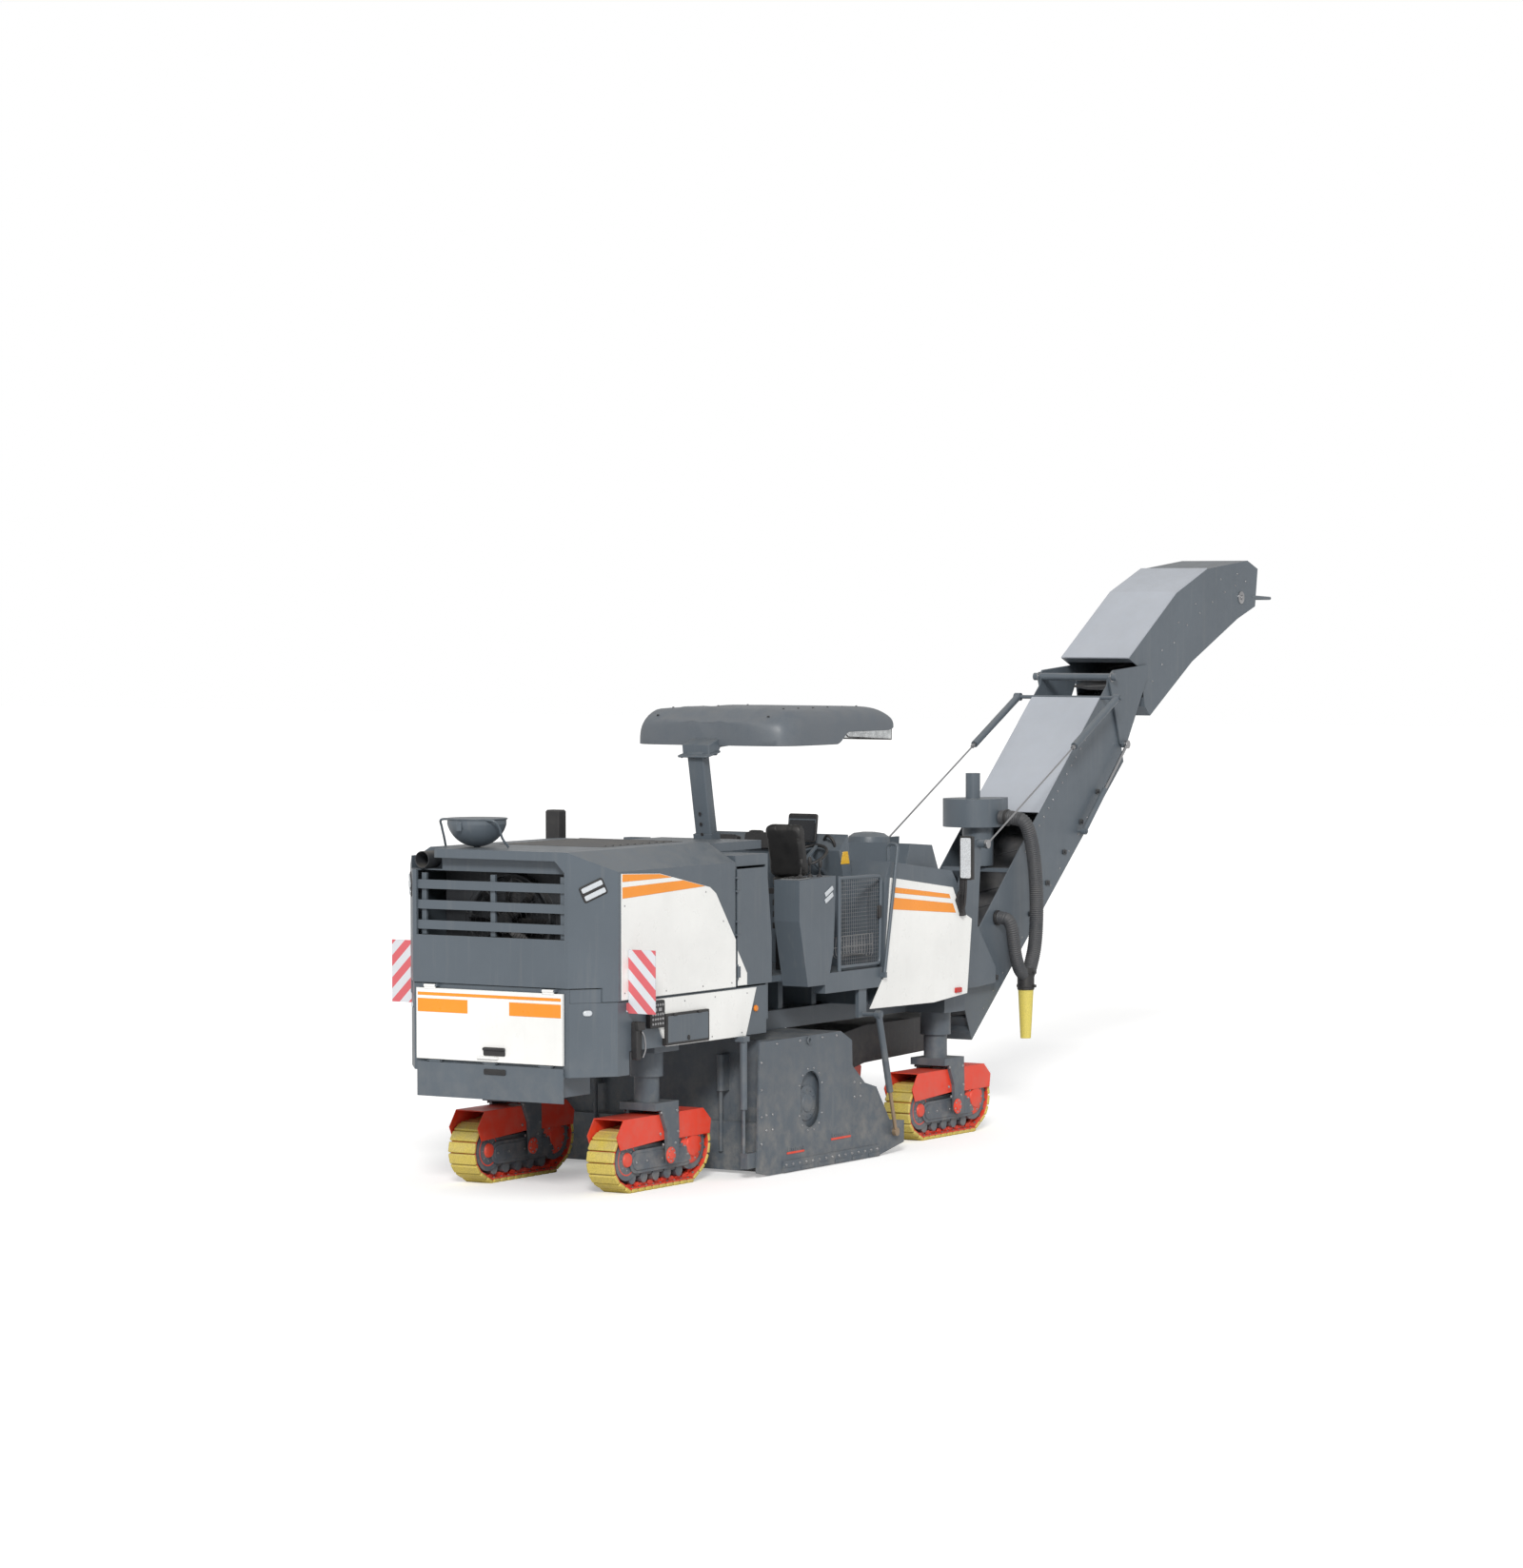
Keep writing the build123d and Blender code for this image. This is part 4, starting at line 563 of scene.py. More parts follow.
GEARCASE = [(0.17, 0.0), (0.17, 0.03), (0.150, 0.045), (0.105, 0.05), (0.10, 0.062), (0.075, 0.066),
            (0.02, 0.066)]
IDLER_COVER = [(0.15, 0.0), (0.15, 0.026), (0.135, 0.03), (0.12, 0.022), (0.07, 0.022), (0.06, 0.045),
               (0.02, 0.05)]
PIN_PLATE = [(0.074, 0.0), (0.074, 0.008), (0.066, 0.012), (0.04, 0.012), (0.038, 0.018), (0.01, 0.018)]
FRAME_BOLTS = (-0.42, -0.25, 0.0, 0.25, 0.42)
FORK_BOLTS = ((-0.13, 0.69), (0.13, 0.69), (-0.145, 0.50), (0.145, 0.50), (-0.10, 0.40), (0.10, 0.40))
for leg_name, leg_middle, leg_side in LEGS:
    body = f"leg_{leg_name}_body"
    centre_y = leg_side * TRACK_Y
    covers, steel, heads = [], [], []
    for face in (-1, 1):
        out, across = (0, face, 0), (-face, 0, 0)
        y = centre_y + face * 0.122
        middle = np.array([leg_middle, y, 0.27])
        covers += [slab(capsule(1.02, 0.105), middle, across, UP, 0.014, 0.004),
                   slab(capsule(0.94, 0.075), middle + (0, face * 0.013, 0), across, UP, 0.010, 0.004)]
        hub = np.array([leg_middle + TRACK_ENDS[1] + SPROCKET[0], y - face * 0.03, SPROCKET[1]])
        idler = np.array([leg_middle + TRACK_ENDS[0] + IDLER[0], y - face * 0.03, IDLER[1]])
        pin = np.array([leg_middle + 0.034, centre_y + face * 0.2095, 0.298])
        steel += [turned(GEARCASE, hub, out, 40), turned(IDLER_COVER, idler, out, 40),
                  turned(PIN_PLATE, pin, out)]
        heads += bolt_ring(hub, 0.128, 10, face, 0.046, 0.010)
        heads += bolt_ring(idler, 0.095, 8, face, 0.022, 0.009)
        heads += [bolt(middle + (x, face * 0.022, 0.0), out, 0.009) for x in FRAME_BOLTS]
        heads += bolt_ring(pin, 0.054, 6, face, 0.011, 0.008, start=0.3)
        heads += [bolt((pin[0] + x, centre_y + face * 0.196, z), out, 0.011) for x, z in FORK_BOLTS]
    piece(f"track_cover_{leg_name}", covers, SLATE_FRAME, body)
    piece(f"track_hubs_{leg_name}", steel, RED, body)
    piece(f"track_bolts_{leg_name}", heads, BARE, body)
print("track frames dressed on", len(LEGS), "legs")

# %% [markdown]
# ## Film stripes
# The broad and narrow stripes are cut film on the panels. Each is a closed sheet a little over a millimetre
# thick that lies on its panel and ends near the panel's edge. Pull handles of black plastic sit below the
# stripes on the rear door and on the flap under it.

# %% Film stripes
SKIN_Y = 1.142  # outer face of the white side panels
DOOR_FACE = -7.320  # outer face of the rear door
FLAP_FACE = -7.312  # outer face of the flap below the door
FILM = 0.0012
TO_RIGHT = (0, -1, 0)  # the level direction along a rear face, seen from behind


def side_film(outline, side, y=SKIN_Y, thick=FILM):
    """A film sheet on a side face; outline is (x, z) pairs as seen from the right."""
    return slab([(-side * x, z) for x, z in outline], (0, side * y, 0), (-side, 0, 0), UP, thick, 0.0003)


HOOD_FILM = ([(-6.895, 2.880), (-6.30, 2.856), (-6.10, 2.818), (-6.895, 2.812)],
             [(-6.895, 2.765), (-5.92, 2.783), (-5.56, 2.713), (-6.895, 2.665)])
FRONT_FILM = ([(-2.265, 2.545), (-1.195, 2.425), (-1.165, 2.380), (-2.265, 2.490)],
              [(-2.265, 2.445), (-1.125, 2.330), (-1.065, 2.235), (-2.265, 2.330)])
piece("hood_stripes", [side_film(o, side) for _, side in SIDES for o in HOOD_FILM], ORANGE, "hood_body")
piece("front_stripes", [side_film(o, side) for _, side in SIDES for o in FRONT_FILM], ORANGE)
door_film = []
for right, left, low, high in ((-0.775, 0.775, 1.772, 1.800), (-0.775, -0.222, 1.625, 1.745),
                               (0.229, 0.775, 1.625, 1.745)):
    door_film.append(slab([(-left, low), (-right, low), (-right, high), (-left, high)], (DOOR_FACE, 0, 0),
                          TO_RIGHT, UP, FILM, 0.0003))
piece("door_stripes", door_film, ORANGE, "rear_door_body")
handles = [plate((0.235, 0.075, 0.012), (DOOR_FACE, -0.063, 1.300), TO_RIGHT, 0.012, 0.004),
           plate((0.235, 0.022, 0.008), (DOOR_FACE - 0.010, -0.063, 1.322), TO_RIGHT, 0.020, 0.006)]
piece("door_handle", handles, BLACK, "rear_door_body")
flap_handle = plate((0.235, 0.050, 0.012), (FLAP_FACE, -0.062, 1.118), TO_RIGHT, 0.014, 0.004)
piece("flap_handle", flap_handle, BLACK, "rear_flap_body")
print("stripes on hood, front panels and rear door")

# %% [markdown]
# ## Rear lamps and grille guard
# Behind the louvres a wire guard of rings and spokes keeps hands out of the fan. Lamp clusters are glazed
# housings on the corner facets, small lenses mark the machine's edges, and a small filler plate closes each
# corner between the hood and the body below it.

# %% Rear lamps and guard
FAN = np.array([-7.078, 0, 2.42])
guard = [tube(circle(FAN, Y_AXIS, Z_AXIS, 0.09 + ring * 0.055, 60), 0.0030, 6, closed=True)
         for ring in range(7)]
for t in TAU * np.arange(8) / 8 + 0.2:
    guard.append(tube([FAN + (0.004, r * math.cos(t), r * math.sin(t)) for r in (0.05, 0.43)], 0.005, 8))
guard.append(turned([(0.085, 0), (0.085, 0.012), (0.07, 0.016), (0.01, 0.016)], FAN + (0.008, 0, 0),
                    (-1, 0, 0)))
piece("fan_guard", guard, DARK)


def facet(side, back, sideways, length):
    """Outward and level directions of a corner facet."""
    return (np.array([-back, side * sideways, 0.0]) / length,
            np.array([-side * sideways, -back, 0.0]) / length)


lamp_case, lamp_glass, amber, oval, fillers = [], [], [], [], []
for side_name, side in SIDES:
    out, level = facet(side, 0.290, 0.360, 0.4623)
    rise = -0.42 * side
    along = level * math.cos(rise) + np.array([0, 0, math.sin(rise)])
    upward = np.cross(out, along)
    spot = np.array([-7.120, side * 0.985, 2.745])
    lamp_case.append(plate((0.235, 0.150, 0.02), spot - out * 0.006, along, 0.016, 0.005, upward))
    for offset in (-0.036, 0.036):
        lens = spot + upward * offset + out * 0.009
        lamp_glass.append(plate((0.205, 0.046, 0.012), lens, along, 0.012, 0.004, upward))
    amber.append(turned([(0.030, 0.0), (0.030, 0.010), (0.024, 0.018), (0.008, 0.021)],
                        (-4.689, side * 1.121, 1.549), (0, side, 0), 24))
    out, level = facet(side, 0.280, 0.340, 0.4405)
    oval.append(plate((0.085, 0.050, 0.024), (-7.155, side * 0.943, 1.665), level, 0.018, 0.007))
    middle = np.array([-7.1664, side * 0.9336, 1.8155]) - out * 0.020
    fillers.append(plate((0.286, 0.122, 0.004), middle, level, 0.0195, 0.003))
piece("corner_lamp_cases", lamp_case, BLACK, "hood_body")
piece("corner_lamp_glass", lamp_glass, LENS_CLEAR, "hood_body")
piece("marker_lamps", amber, LENS_AMBER)
piece("corner_fillers", fillers, SLATE)
piece("rear_reflectors", oval, LENS_CLEAR)
print("rear lamps, guard and markers")

# %% [markdown]
# ## Panel hardware
# Panels show what holds them: rows of screws, a lidded control box with hinges and a round latch, and the
# switch panel above the crawler, where a helper on the ground sets the milling depth.

# %% Panel hardware
WALL_Y = 1.118  # just inside the outer face of the lower side wall
LID_Y = 1.1575
BOX_X, SWITCH_X, CLAMP_X = -5.8835, -6.3775, -6.69
BUTTON = [(0.013, 0), (0.013, 0.006), (0.010, 0.009), (0.002, 0.009)]
LATCH = [(0.022, 0), (0.022, 0.006), (0.016, 0.010), (0.004, 0.010)]
HOOD_SCREWS = ((-6.86, 1.83), (-6.86, 2.60), (-6.2, 1.81), (-5.6, 1.81), (-5.12, 1.81), (-5.26, 2.38),
               (-5.55, 2.66))
PANEL_SCREWS = ((-6.40, 1.715), (-5.90, 1.700), (-5.40, 1.700), (-4.86, 1.700), (-5.45, 1.345),
                (-4.95, 1.345))
hood_screws, panel_screws, dark_bits, lids, keys = [], [], [], [], []
for side_name, side in SIDES:
    out, u = (0, side, 0), (-side, 0, 0)
    hood_screws += [bolt((x, side * SKIN_Y, z), out, 0.006) for x, z in HOOD_SCREWS]
    panel_screws += [bolt((x, side * SKIN_Y, z), out, 0.006) for x, z in PANEL_SCREWS]
    face = side * LID_Y
    # the control box: a black frame, a paler door, its two hinges and its latch
    dark_bits.append(plate((0.70, 0.285, 0.012), (BOX_X, side * WALL_Y, 1.4625), u, 0.050, 0.003))
    lids.append(plate((0.655, 0.240, 0.010), (BOX_X, face + side * 0.008, 1.4625), u, 0.007, 0.003))
    for x in (-6.10, -5.70):
        dark_bits.append(plate((0.06, 0.022, 0.004), (x, face + side * 0.014, 1.592), u, 0.008, 0.002))
    dark_bits.append(turned(LATCH, (BOX_X, face + side * 0.014, 1.372), out, 20))
    # the switch panel: rows of round buttons and two square ones
    dark_bits.append(plate((0.235, 0.245, 0.015), (SWITCH_X, side * WALL_Y, 1.6125), u, 0.050, 0.003))
    for row in range(5):
        for column in range(5):
            spot = (SWITCH_X + (column - 2) * 0.040, face + side * 0.009, 1.612 + (row - 2) * 0.042)
            if row == 3 and column in (1, 3):
                keys.append(plate((0.050, 0.030, 0.004), spot, u, 0.004, 0.001))
            elif row != 3:
                keys.append(turned(BUTTON, spot, out, 14))
    # a hand clamp with its bent lever beside the rear edge, on the right only
    if side == RIGHT:
        dark_bits.append(plate((0.085, 0.34, 0.02), (CLAMP_X, side * WALL_Y, 1.40), u, 0.068, 0.008))
        dark_bits.append(plate((0.11, 0.07, 0.01), (CLAMP_X, side * (SKIN_Y + 0.03), 1.53), u, 0.04, 0.006))
        keys.append(tube(smooth_route([(-6.65, side * 1.19, 1.25), (-6.64, side * 1.21, 1.32),
                                       (-6.65, side * 1.21, 1.42), (-6.66, side * 1.19, 1.48)]), 0.008, 8))
piece("hood_screws", hood_screws, BARE, "hood_body")
piece("panel_screws", panel_screws, BARE)
piece("panel_hardware", dark_bits, BLACK)
piece("box_lids", lids, SLATE)
piece("switches", keys, BARE)
print("panel hardware:", len(hood_screws) + len(panel_screws), "screws and", len(keys), "switches")

# %% [markdown]
# ## Side plate hardware
# The side plates float on the road beside the drum and keep the cut material in. They carry a bolted skid
# with runner bars, a ring of bolts round their long slot, a lifting eye and short red scales that show the
# milling depth. The cover over the drum's bearing belongs to the machine itself: the plate slides up and
# down past it, and it shows through the slot.

# %% Side plate hardware
PLATE_FACE = 1.236
DRUM_X = -3.910
BEARING_COVER = [(0.165, 0.0), (0.165, 0.010), (0.150, 0.014), (0.090, 0.014), (0.080, 0.026), (0.050, 0.029),
                 (0.010, 0.029)]
PLATE_BOLTS = ((-4.68, 0.42), (-4.68, 0.56), (-4.576, 0.42), (-4.576, 0.56), (-3.13, 0.60), (-3.13, 0.74),
               (-3.02, 0.60), (-3.02, 0.72), (-4.765, 0.30), (-4.765, 0.55), (-4.765, 0.80), (-4.765, 1.05),
               (-4.5, 1.205), (-4.1, 1.205), (-3.7, 1.205), (-3.45, 1.205))
for side_name, side in SIDES:
    body = f"side_plate_{side_name}_body"
    out, u = (0, side, 0), (-side, 0, 0)
    face, skid = side * PLATE_FACE, side * (PLATE_FACE + 0.014)
    heads = [bolt((x, skid, 0.078), out, 0.011) for x in np.linspace(-4.36, -2.73, 15)]
    heads += [bolt((x, face, z + 0.006), out, 0.010) for x, z in PLATE_BOLTS]
    for t in TAU * np.arange(12) / 12 + 0.26:
        arc_z = 0.738 if math.sin(t) > 0 else 0.563
        heads.append(bolt((DRUM_X + 0.205 * math.cos(t), face, arc_z + 0.205 * math.sin(t)), out, 0.008))
    hub = np.array([DRUM_X, side * 1.1805, 0.613])
    cap = [turned(BEARING_COVER, hub, out, 48)] + bolt_ring(hub, 0.125, 12, side, 0.014, 0.009)
    piece(f"drum_hub_{side_name}", cap, SLATE_FRAME)
    bright, red = [], []
    for low, high, z in ((-4.33, -4.03, 0.182), (-3.55, -3.20, 0.242)):
        red.append(plate((high - low, 0.020, 0.003), ((low + high) / 2, face, z), u, 0.006, 0.002))
        for k in range(9):
            mark = (0.004, 0.034 if k % 4 == 0 else 0.022, 0.001)
            bright.append(plate(mark, (low + (high - low) * (k + 0.5) / 9, face, z + 0.030), u, 0.005, 0.001))
    bright += [plate((0.20, 0.035, 0.006), (x, skid, 0.030), u, 0.008, 0.003)
               for x in np.linspace(-4.30, -2.79, 6)]
    lifting_eye = circle((-3.95, side * (PLATE_FACE + 0.012), 1.20), X_AXIS, Z_AXIS, 0.03, 24)
    bright.append(tube(lifting_eye, 0.008, 8, closed=True))
    piece(f"plate_bolts_{side_name}", heads, BARE, body)
    piece(f"plate_fittings_{side_name}", bright, SLATE_FRAME, body)
    piece(f"depth_scales_{side_name}", red, RED, body)
print("side plates dressed")

# %% [markdown]
# ## Wrinkled suction hoses
# A suction hose is rubber over a wire coil, so it bends easily but can't collapse. A sine along the hose's
# length swells the radius over each turn of the wire. The coil's pitch is kept equal by stepping along the
# route's own length. Two hoses meet over the yellow mouth, a long one from the fan and a short one from the
# conveyor, and ring clamps hold their ends.

# %% Suction hoses
def even(route, step):
    """The same route sampled every `step` metres of its length."""
    route = np.asarray(route, float)
    run = np.concatenate([[0], np.cumsum(np.linalg.norm(np.diff(route, axis=0), axis=1))])
    at = np.linspace(0, run[-1], max(int(run[-1] / step), 2))
    return np.stack([np.interp(at, run, route[:, k]) for k in range(3)], -1), at


PITCH, WRINKLE = 0.021, 0.0035
DOWN = [(1.350, -0.27, 3.06), (1.350, -0.40, 3.06), (1.372, -0.53, 3.02), (1.430, -0.575, 2.86),
        (1.505, -0.580, 2.60), (1.548, -0.580, 2.30), (1.552, -0.580, 2.00), (1.515, -0.580, 1.74),
        (1.440, -0.575, 1.54), (1.365, -0.571, 1.42), (1.350, -0.570, 1.36)]
RETURN = [(1.020, -0.400, 2.05), (1.020, -0.470, 2.05), (1.024, -0.545, 2.03), (1.045, -0.578, 1.94),
          (1.085, -0.578, 1.79), (1.140, -0.574, 1.64), (1.215, -0.571, 1.52), (1.300, -0.570, 1.455)]
hoses = []
for route, radius in ((DOWN, 0.071), (RETURN, 0.064)):
    path, at = even(smooth_route(route, steps=14), PITCH / 6)
    hoses.append(tube(path, radius + WRINKLE * np.sin(TAU * at / PITCH), 28))
wrinkled = piece("wrinkled_hoses", hoses, RUBBER, "conveyor_lower_body", smooth=60)
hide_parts("suction_hoses")
mouth = np.array([1.350, -0.570, 1.2995])
clamps = [turned([(0.088, 0.0), (0.088, 0.20), (0.082, 0.22), (0.02, 0.22)], mouth, sides=40)]
for z in (0.025, 0.165):
    band = [(0.093, z), (0.096, z + 0.004), (0.096, z + 0.024), (0.093, z + 0.028)]
    clamps += [turned(band, mouth, sides=40),
               plate((0.05, 0.03, 0.006), mouth + (0.0, -0.092, z + 0.014), X_AXIS, 0.022, 0.004)]
for end, radius in (((1.350, -0.335, 3.060), 0.082), ((1.020, -0.410, 2.050), 0.074)):
    band = [(radius, 0.0), (radius + 0.004, 0.004), (radius + 0.004, 0.026), (radius, 0.03)]
    clamps.append(turned(band, end, TO_RIGHT, 40))
piece("hose_clamps", clamps, BLACK, "conveyor_lower_body")
print("hoses", len(hoses), "with clamps", len(clamps))

# %% [markdown]
# ## Conveyor details
# The belt itself is rubber with chevron cleats; it turns round a crowned drum at the head. Bolts run along
# the side plates, and rollers with bearing blocks carry the belt's underside.

# %% Conveyor details
BOOM_Y = 0.410  # outer face of the conveyor's side plates
ALONG_BELT = np.array([1840.0, 0, 1625.0]) / math.hypot(1840.0, 1625.0)


def boom_z(x, rise):
    """The height of a line parallel to the lower boom's bottom edge."""
    return 0.835 + (x - 0.52) * 0.8474 + rise


UPPER_BOLTS = ((4.40, 4.42), (4.62, 4.60), (4.90, 4.83), (5.2, 5.02), (5.5, 5.15), (5.8, 5.27), (6.1, 5.38),
               (6.35, 5.45), (6.6, 5.50), (4.62, 4.75), (5.0, 5.05), (5.4, 5.25), (6.0, 5.52), (6.4, 5.58))
HEAD_COVER = [(0.07, 0), (0.07, 0.01), (0.055, 0.016), (0.03, 0.016), (0.028, 0.03), (0.006, 0.03)]
FOLD_COVER = [(0.05, 0), (0.05, 0.008), (0.02, 0.012), (0.005, 0.012)]
ROLLER_X = 1.0 + 0.36 * np.arange(7)
heads, bearings, upper_heads = [], [], []
for side_name, side in SIDES:
    out, y = (0, side, 0), side * BOOM_Y
    heads += [bolt(np.array([1.62, y, 2.700]) + ALONG_BELT * k * 0.13, out, 0.009) for k in range(16)]
    heads += [bolt((x, y, boom_z(x, 0.11)), out, 0.008) for x in 0.75 + 0.2 * np.arange(14)]
    for x in ROLLER_X:
        spot = (x, y, boom_z(x, 0.20))
        bearings.append(plate((0.075, 0.05, 0.012), spot, (-side, 0, 0), 0.018, 0.005))
        bearings.append(turned([(0.016, 0.018), (0.016, 0.028), (0.004, 0.030)], spot, out, 16))
    upper_heads += [bolt((x, y, z), out, 0.009) for x, z in UPPER_BOLTS]
    upper_heads += [turned(HEAD_COVER, (6.49, y, 5.32), out),
                    turned(FOLD_COVER, (3.43, side * 0.4365, 4.475), out)]
rollers = [turned([(0.01, -0.399), (0.034, -0.395), (0.034, 0.395), (0.01, 0.399)], (x, 0, boom_z(x, 0.018)),
                  (0, 1, 0), 24) for x in ROLLER_X[1:]]
piece("conveyor_bolts", heads, BARE, "conveyor_lower_body")
piece("roller_bearings", bearings, DARK, "conveyor_lower_body")
piece("belt_rollers", rollers, BARE, "conveyor_lower_body")
head_drum = turned([(0.01, -0.365), (0.074, -0.360), (0.078, 0.0), (0.074, 0.360), (0.01, 0.365)],
                   (6.500, 0, 5.345), (0, 1, 0))
piece("belt_head_drum", head_drum, BARE, "conveyor_upper_body")
piece("head_bolts", upper_heads, BARE, "conveyor_upper_body")


def belt_strip(route, width=0.70, thick=0.010, cleat_step=0.28, height=0.011):
    """A troughed belt along a route of (x, z) with chevron cleats standing on its outer face."""
    path, at = even([(x, 0, z) for x, z in route], 0.05)
    along = np.gradient(path, axis=0)
    along /= np.linalg.norm(along, axis=1)[:, None]
    out = np.stack([-along[:, 2], np.zeros(len(along)), along[:, 0]], -1)
    trough = ((-width / 2, 0.03), (-width / 4, 0.004), (0, 0), (width / 4, 0.004), (width / 2, 0.03))
    top = np.stack([path + out * lift + np.array([0, y, 0]) for y, lift in trough], 1)
    bottom = top - out[:, None, :] * thick
    parts = [stacked(np.concatenate([top, bottom[:, ::-1]], 1))]
    for spot in np.arange(0.1, at[-1] - 0.1, cleat_step):
        k = int(np.searchsorted(at, spot))
        for side in (-1, 1):
            ends = [path[k] + along[k] * 0.08 + out[k] * 0.004,
                    path[k] + np.array([0, side * width * 0.40, 0]) - along[k] * 0.05 + out[k] * 0.012]
            parts.append(tube(ends, height, 6))
    return joined(parts)


piece("lower_belt", belt_strip([(0.50, 1.075), (3.52, 3.765)]), RUBBER, "conveyor_lower_body")
UPPER_ROUTE = [(4.02, 4.335), (4.35, 4.40), (5.30, 4.95), (6.35, 5.43), (6.50, 5.43), (6.585, 5.36),
               (6.585, 5.28)]
piece("upper_belt", belt_strip(UPPER_ROUTE), RUBBER, "conveyor_upper_body")
print("conveyor dressed")

# %% [markdown]
# ## Operator's controls
# The platform holds what the operator touches: a bank of toggle and rotary switches, a tilted screen and
# levers with moulded grips. Each is a few turned or folded shapes standing on the CAD console.

# %% Operator's controls
def knob(radius, height, centre, axis):
    """A small round knob, a little narrower at its top."""
    return turned([(radius, 0), (radius - 0.001, height), (0.004, height + 0.001)], centre, axis, 14)


# the desk on the left console, with its switch field facing rearwards
desk = slab([(-3.900, 2.690), (-3.380, 2.690), (-3.380, 2.760), (-3.780, 3.040), (-3.900, 3.040)],
            (0, 0.870, 0), X_AXIS, UP, 0.245, 0.010)
facia = [plate((0.250, 0.36, 0.02), (-3.902, 0.990, 2.83), TO_RIGHT, 0.010, 0.003)]
knobs, grips, marks = [], [], []
for row in range(6):
    for column in range(5):
        spot = np.array([-3.912, 0.990 + (column - 2) * 0.044, 2.83 + (row - 2.5) * 0.052])
        if (row + column) % 3 == 0:
            knobs.append(knob(0.013, 0.012, spot, (-1, 0, 0)))
        elif (row + column) % 3 == 1:
            knobs.append(plate((0.022, 0.030, 0.004), spot, TO_RIGHT, 0.008, 0.002))
        else:
            marks.append(plate((0.016, 0.016, 0.003), spot, TO_RIGHT, 0.004, 0.001))
# switch fields on top of both consoles: level on the right, sloping on the left
for top_u, top_n, middle in (((1.0, 0, 0.025), (0, 0, 1.0), (-3.790, -0.990, 2.6875)),
                             ((0.819, 0, -0.573), (0.573, 0, 0.819), (-3.580, 0.990, 2.900))):
    top_u, top_n, middle = np.array(top_u), np.array(top_n), np.array(middle)
    top_v = np.cross(top_n, top_u)
    facia.append(plate((0.20, 0.21, 0.015), middle, top_u, 0.008, 0.002, top_v))
    for row in range(4):
        for column in range(4):
            spot = middle + top_u * (row - 1.5) * 0.044 + top_v * (column - 1.5) * 0.046 + top_n * 0.007
            knobs.append(knob(0.012, 0.014, spot, top_n))
# levers with moulded grips on the right console
for x, y, lean, tall in ((-3.60, -0.93, 0.02, 0.14), (-3.52, -0.99, -0.01, 0.16),
                         (-3.44, -1.04, 0.015, 0.13)):
    foot = np.array([x, y, 2.692])
    head = foot + np.array([lean, 0, tall])
    grips += [turned([(0.030, 0), (0.026, 0.012), (0.012, 0.030), (0.006, 0.032)], foot, sides=20),
              tube([foot, head], 0.006, 8),
              turned([(0.010, -0.045), (0.018, -0.030), (0.021, 0.0), (0.016, 0.028), (0.005, 0.036)], head,
                     sides=20)]
# the tilted screen facing the seat
tilted = np.array([0.14, 0, 0.99])
screen = plate((0.285, 0.235, 0.018), (-2.737, -0.41, 3.110), TO_RIGHT, 0.004, 0.001, tilted)
surround = [plate((0.325, 0.275, 0.025), (-2.712, -0.41, 3.110), TO_RIGHT, 0.025, 0.006, tilted)]
for k in range(6):
    surround.append(turned([(0.009, 0), (0.009, 0.006), (0.003, 0.007)],
                           (-2.736, -0.41 + (k - 2.5) * 0.045, 2.985), (-1, 0, 0), 12))
piece("control_desk", desk, SLATE)
piece("switch_facia", facia, GREY_FACE)
piece("switch_knobs", knobs, BLACK)
piece("lever_grips", grips, BLACK)
piece("switch_lights", marks, LENS_AMBER)
piece("screen_frame", surround, BLACK)
piece("screen_face", screen, SCREEN)
# the instrument cluster and its pods along the dash, with two short bent tubes
dash = [plate((width, height, 0.03), (-2.630, y, z), TO_RIGHT, 0.09, 0.008, (0.2, 0, 0.98))
        for width, height, y, z in ((0.42, 0.16, 0.05, 2.965), (0.30, 0.12, 0.50, 2.955))]
for y in (-0.72, 0.72):
    bent = smooth_route([(-2.60, y, 2.80), (-2.66, y, 2.98), (-2.66, y * 0.9, 3.04), (-2.60, y * 0.8, 3.0)])
    dash.append(tube(bent, 0.014, 10))
piece("dash_pods", dash, BLACK)
print("controls:", len(knobs), "switches and", len(marks), "lights")

# %% [markdown]
# ## Steering wheel and gates
# The wheel gets a soft rim of even section. Each gate is one bent tube on a hinge barrel, filled with wire
# mesh, with a latch and a wire basket for a jacket or a bottle. Amber reflectors mark the dash's ends.

# %% Wheel and gates
wheel_u, wheel_v, _ = frame_for((-0.498, 0, 0.867))
rim = circle((-2.905, -0.590, 2.862), wheel_u, wheel_v, 0.178, 72)
piece("wheel_rim", tube(rim, 0.0155, 14, closed=True), LEATHER)
GATE_REAR, WIRE, MESH_STEP = -3.200, 0.0016, 0.036
GATE_TUBE = ((GATE_REAR, 1.830), (-2.86, 1.830), (-2.53, 1.830), (-2.470, 1.850), (-2.462, 1.95),
             (-2.452, 2.25), (-2.442, 2.56), (-2.448, 2.640), (-2.52, 2.662), (-2.86, 2.666),
             (GATE_REAR, 2.670))
HINGE_BARREL = [(0.0100, 0.0), (0.019, 0.0), (0.019, 0.899), (0.0100, 0.900)]
reflectors = []
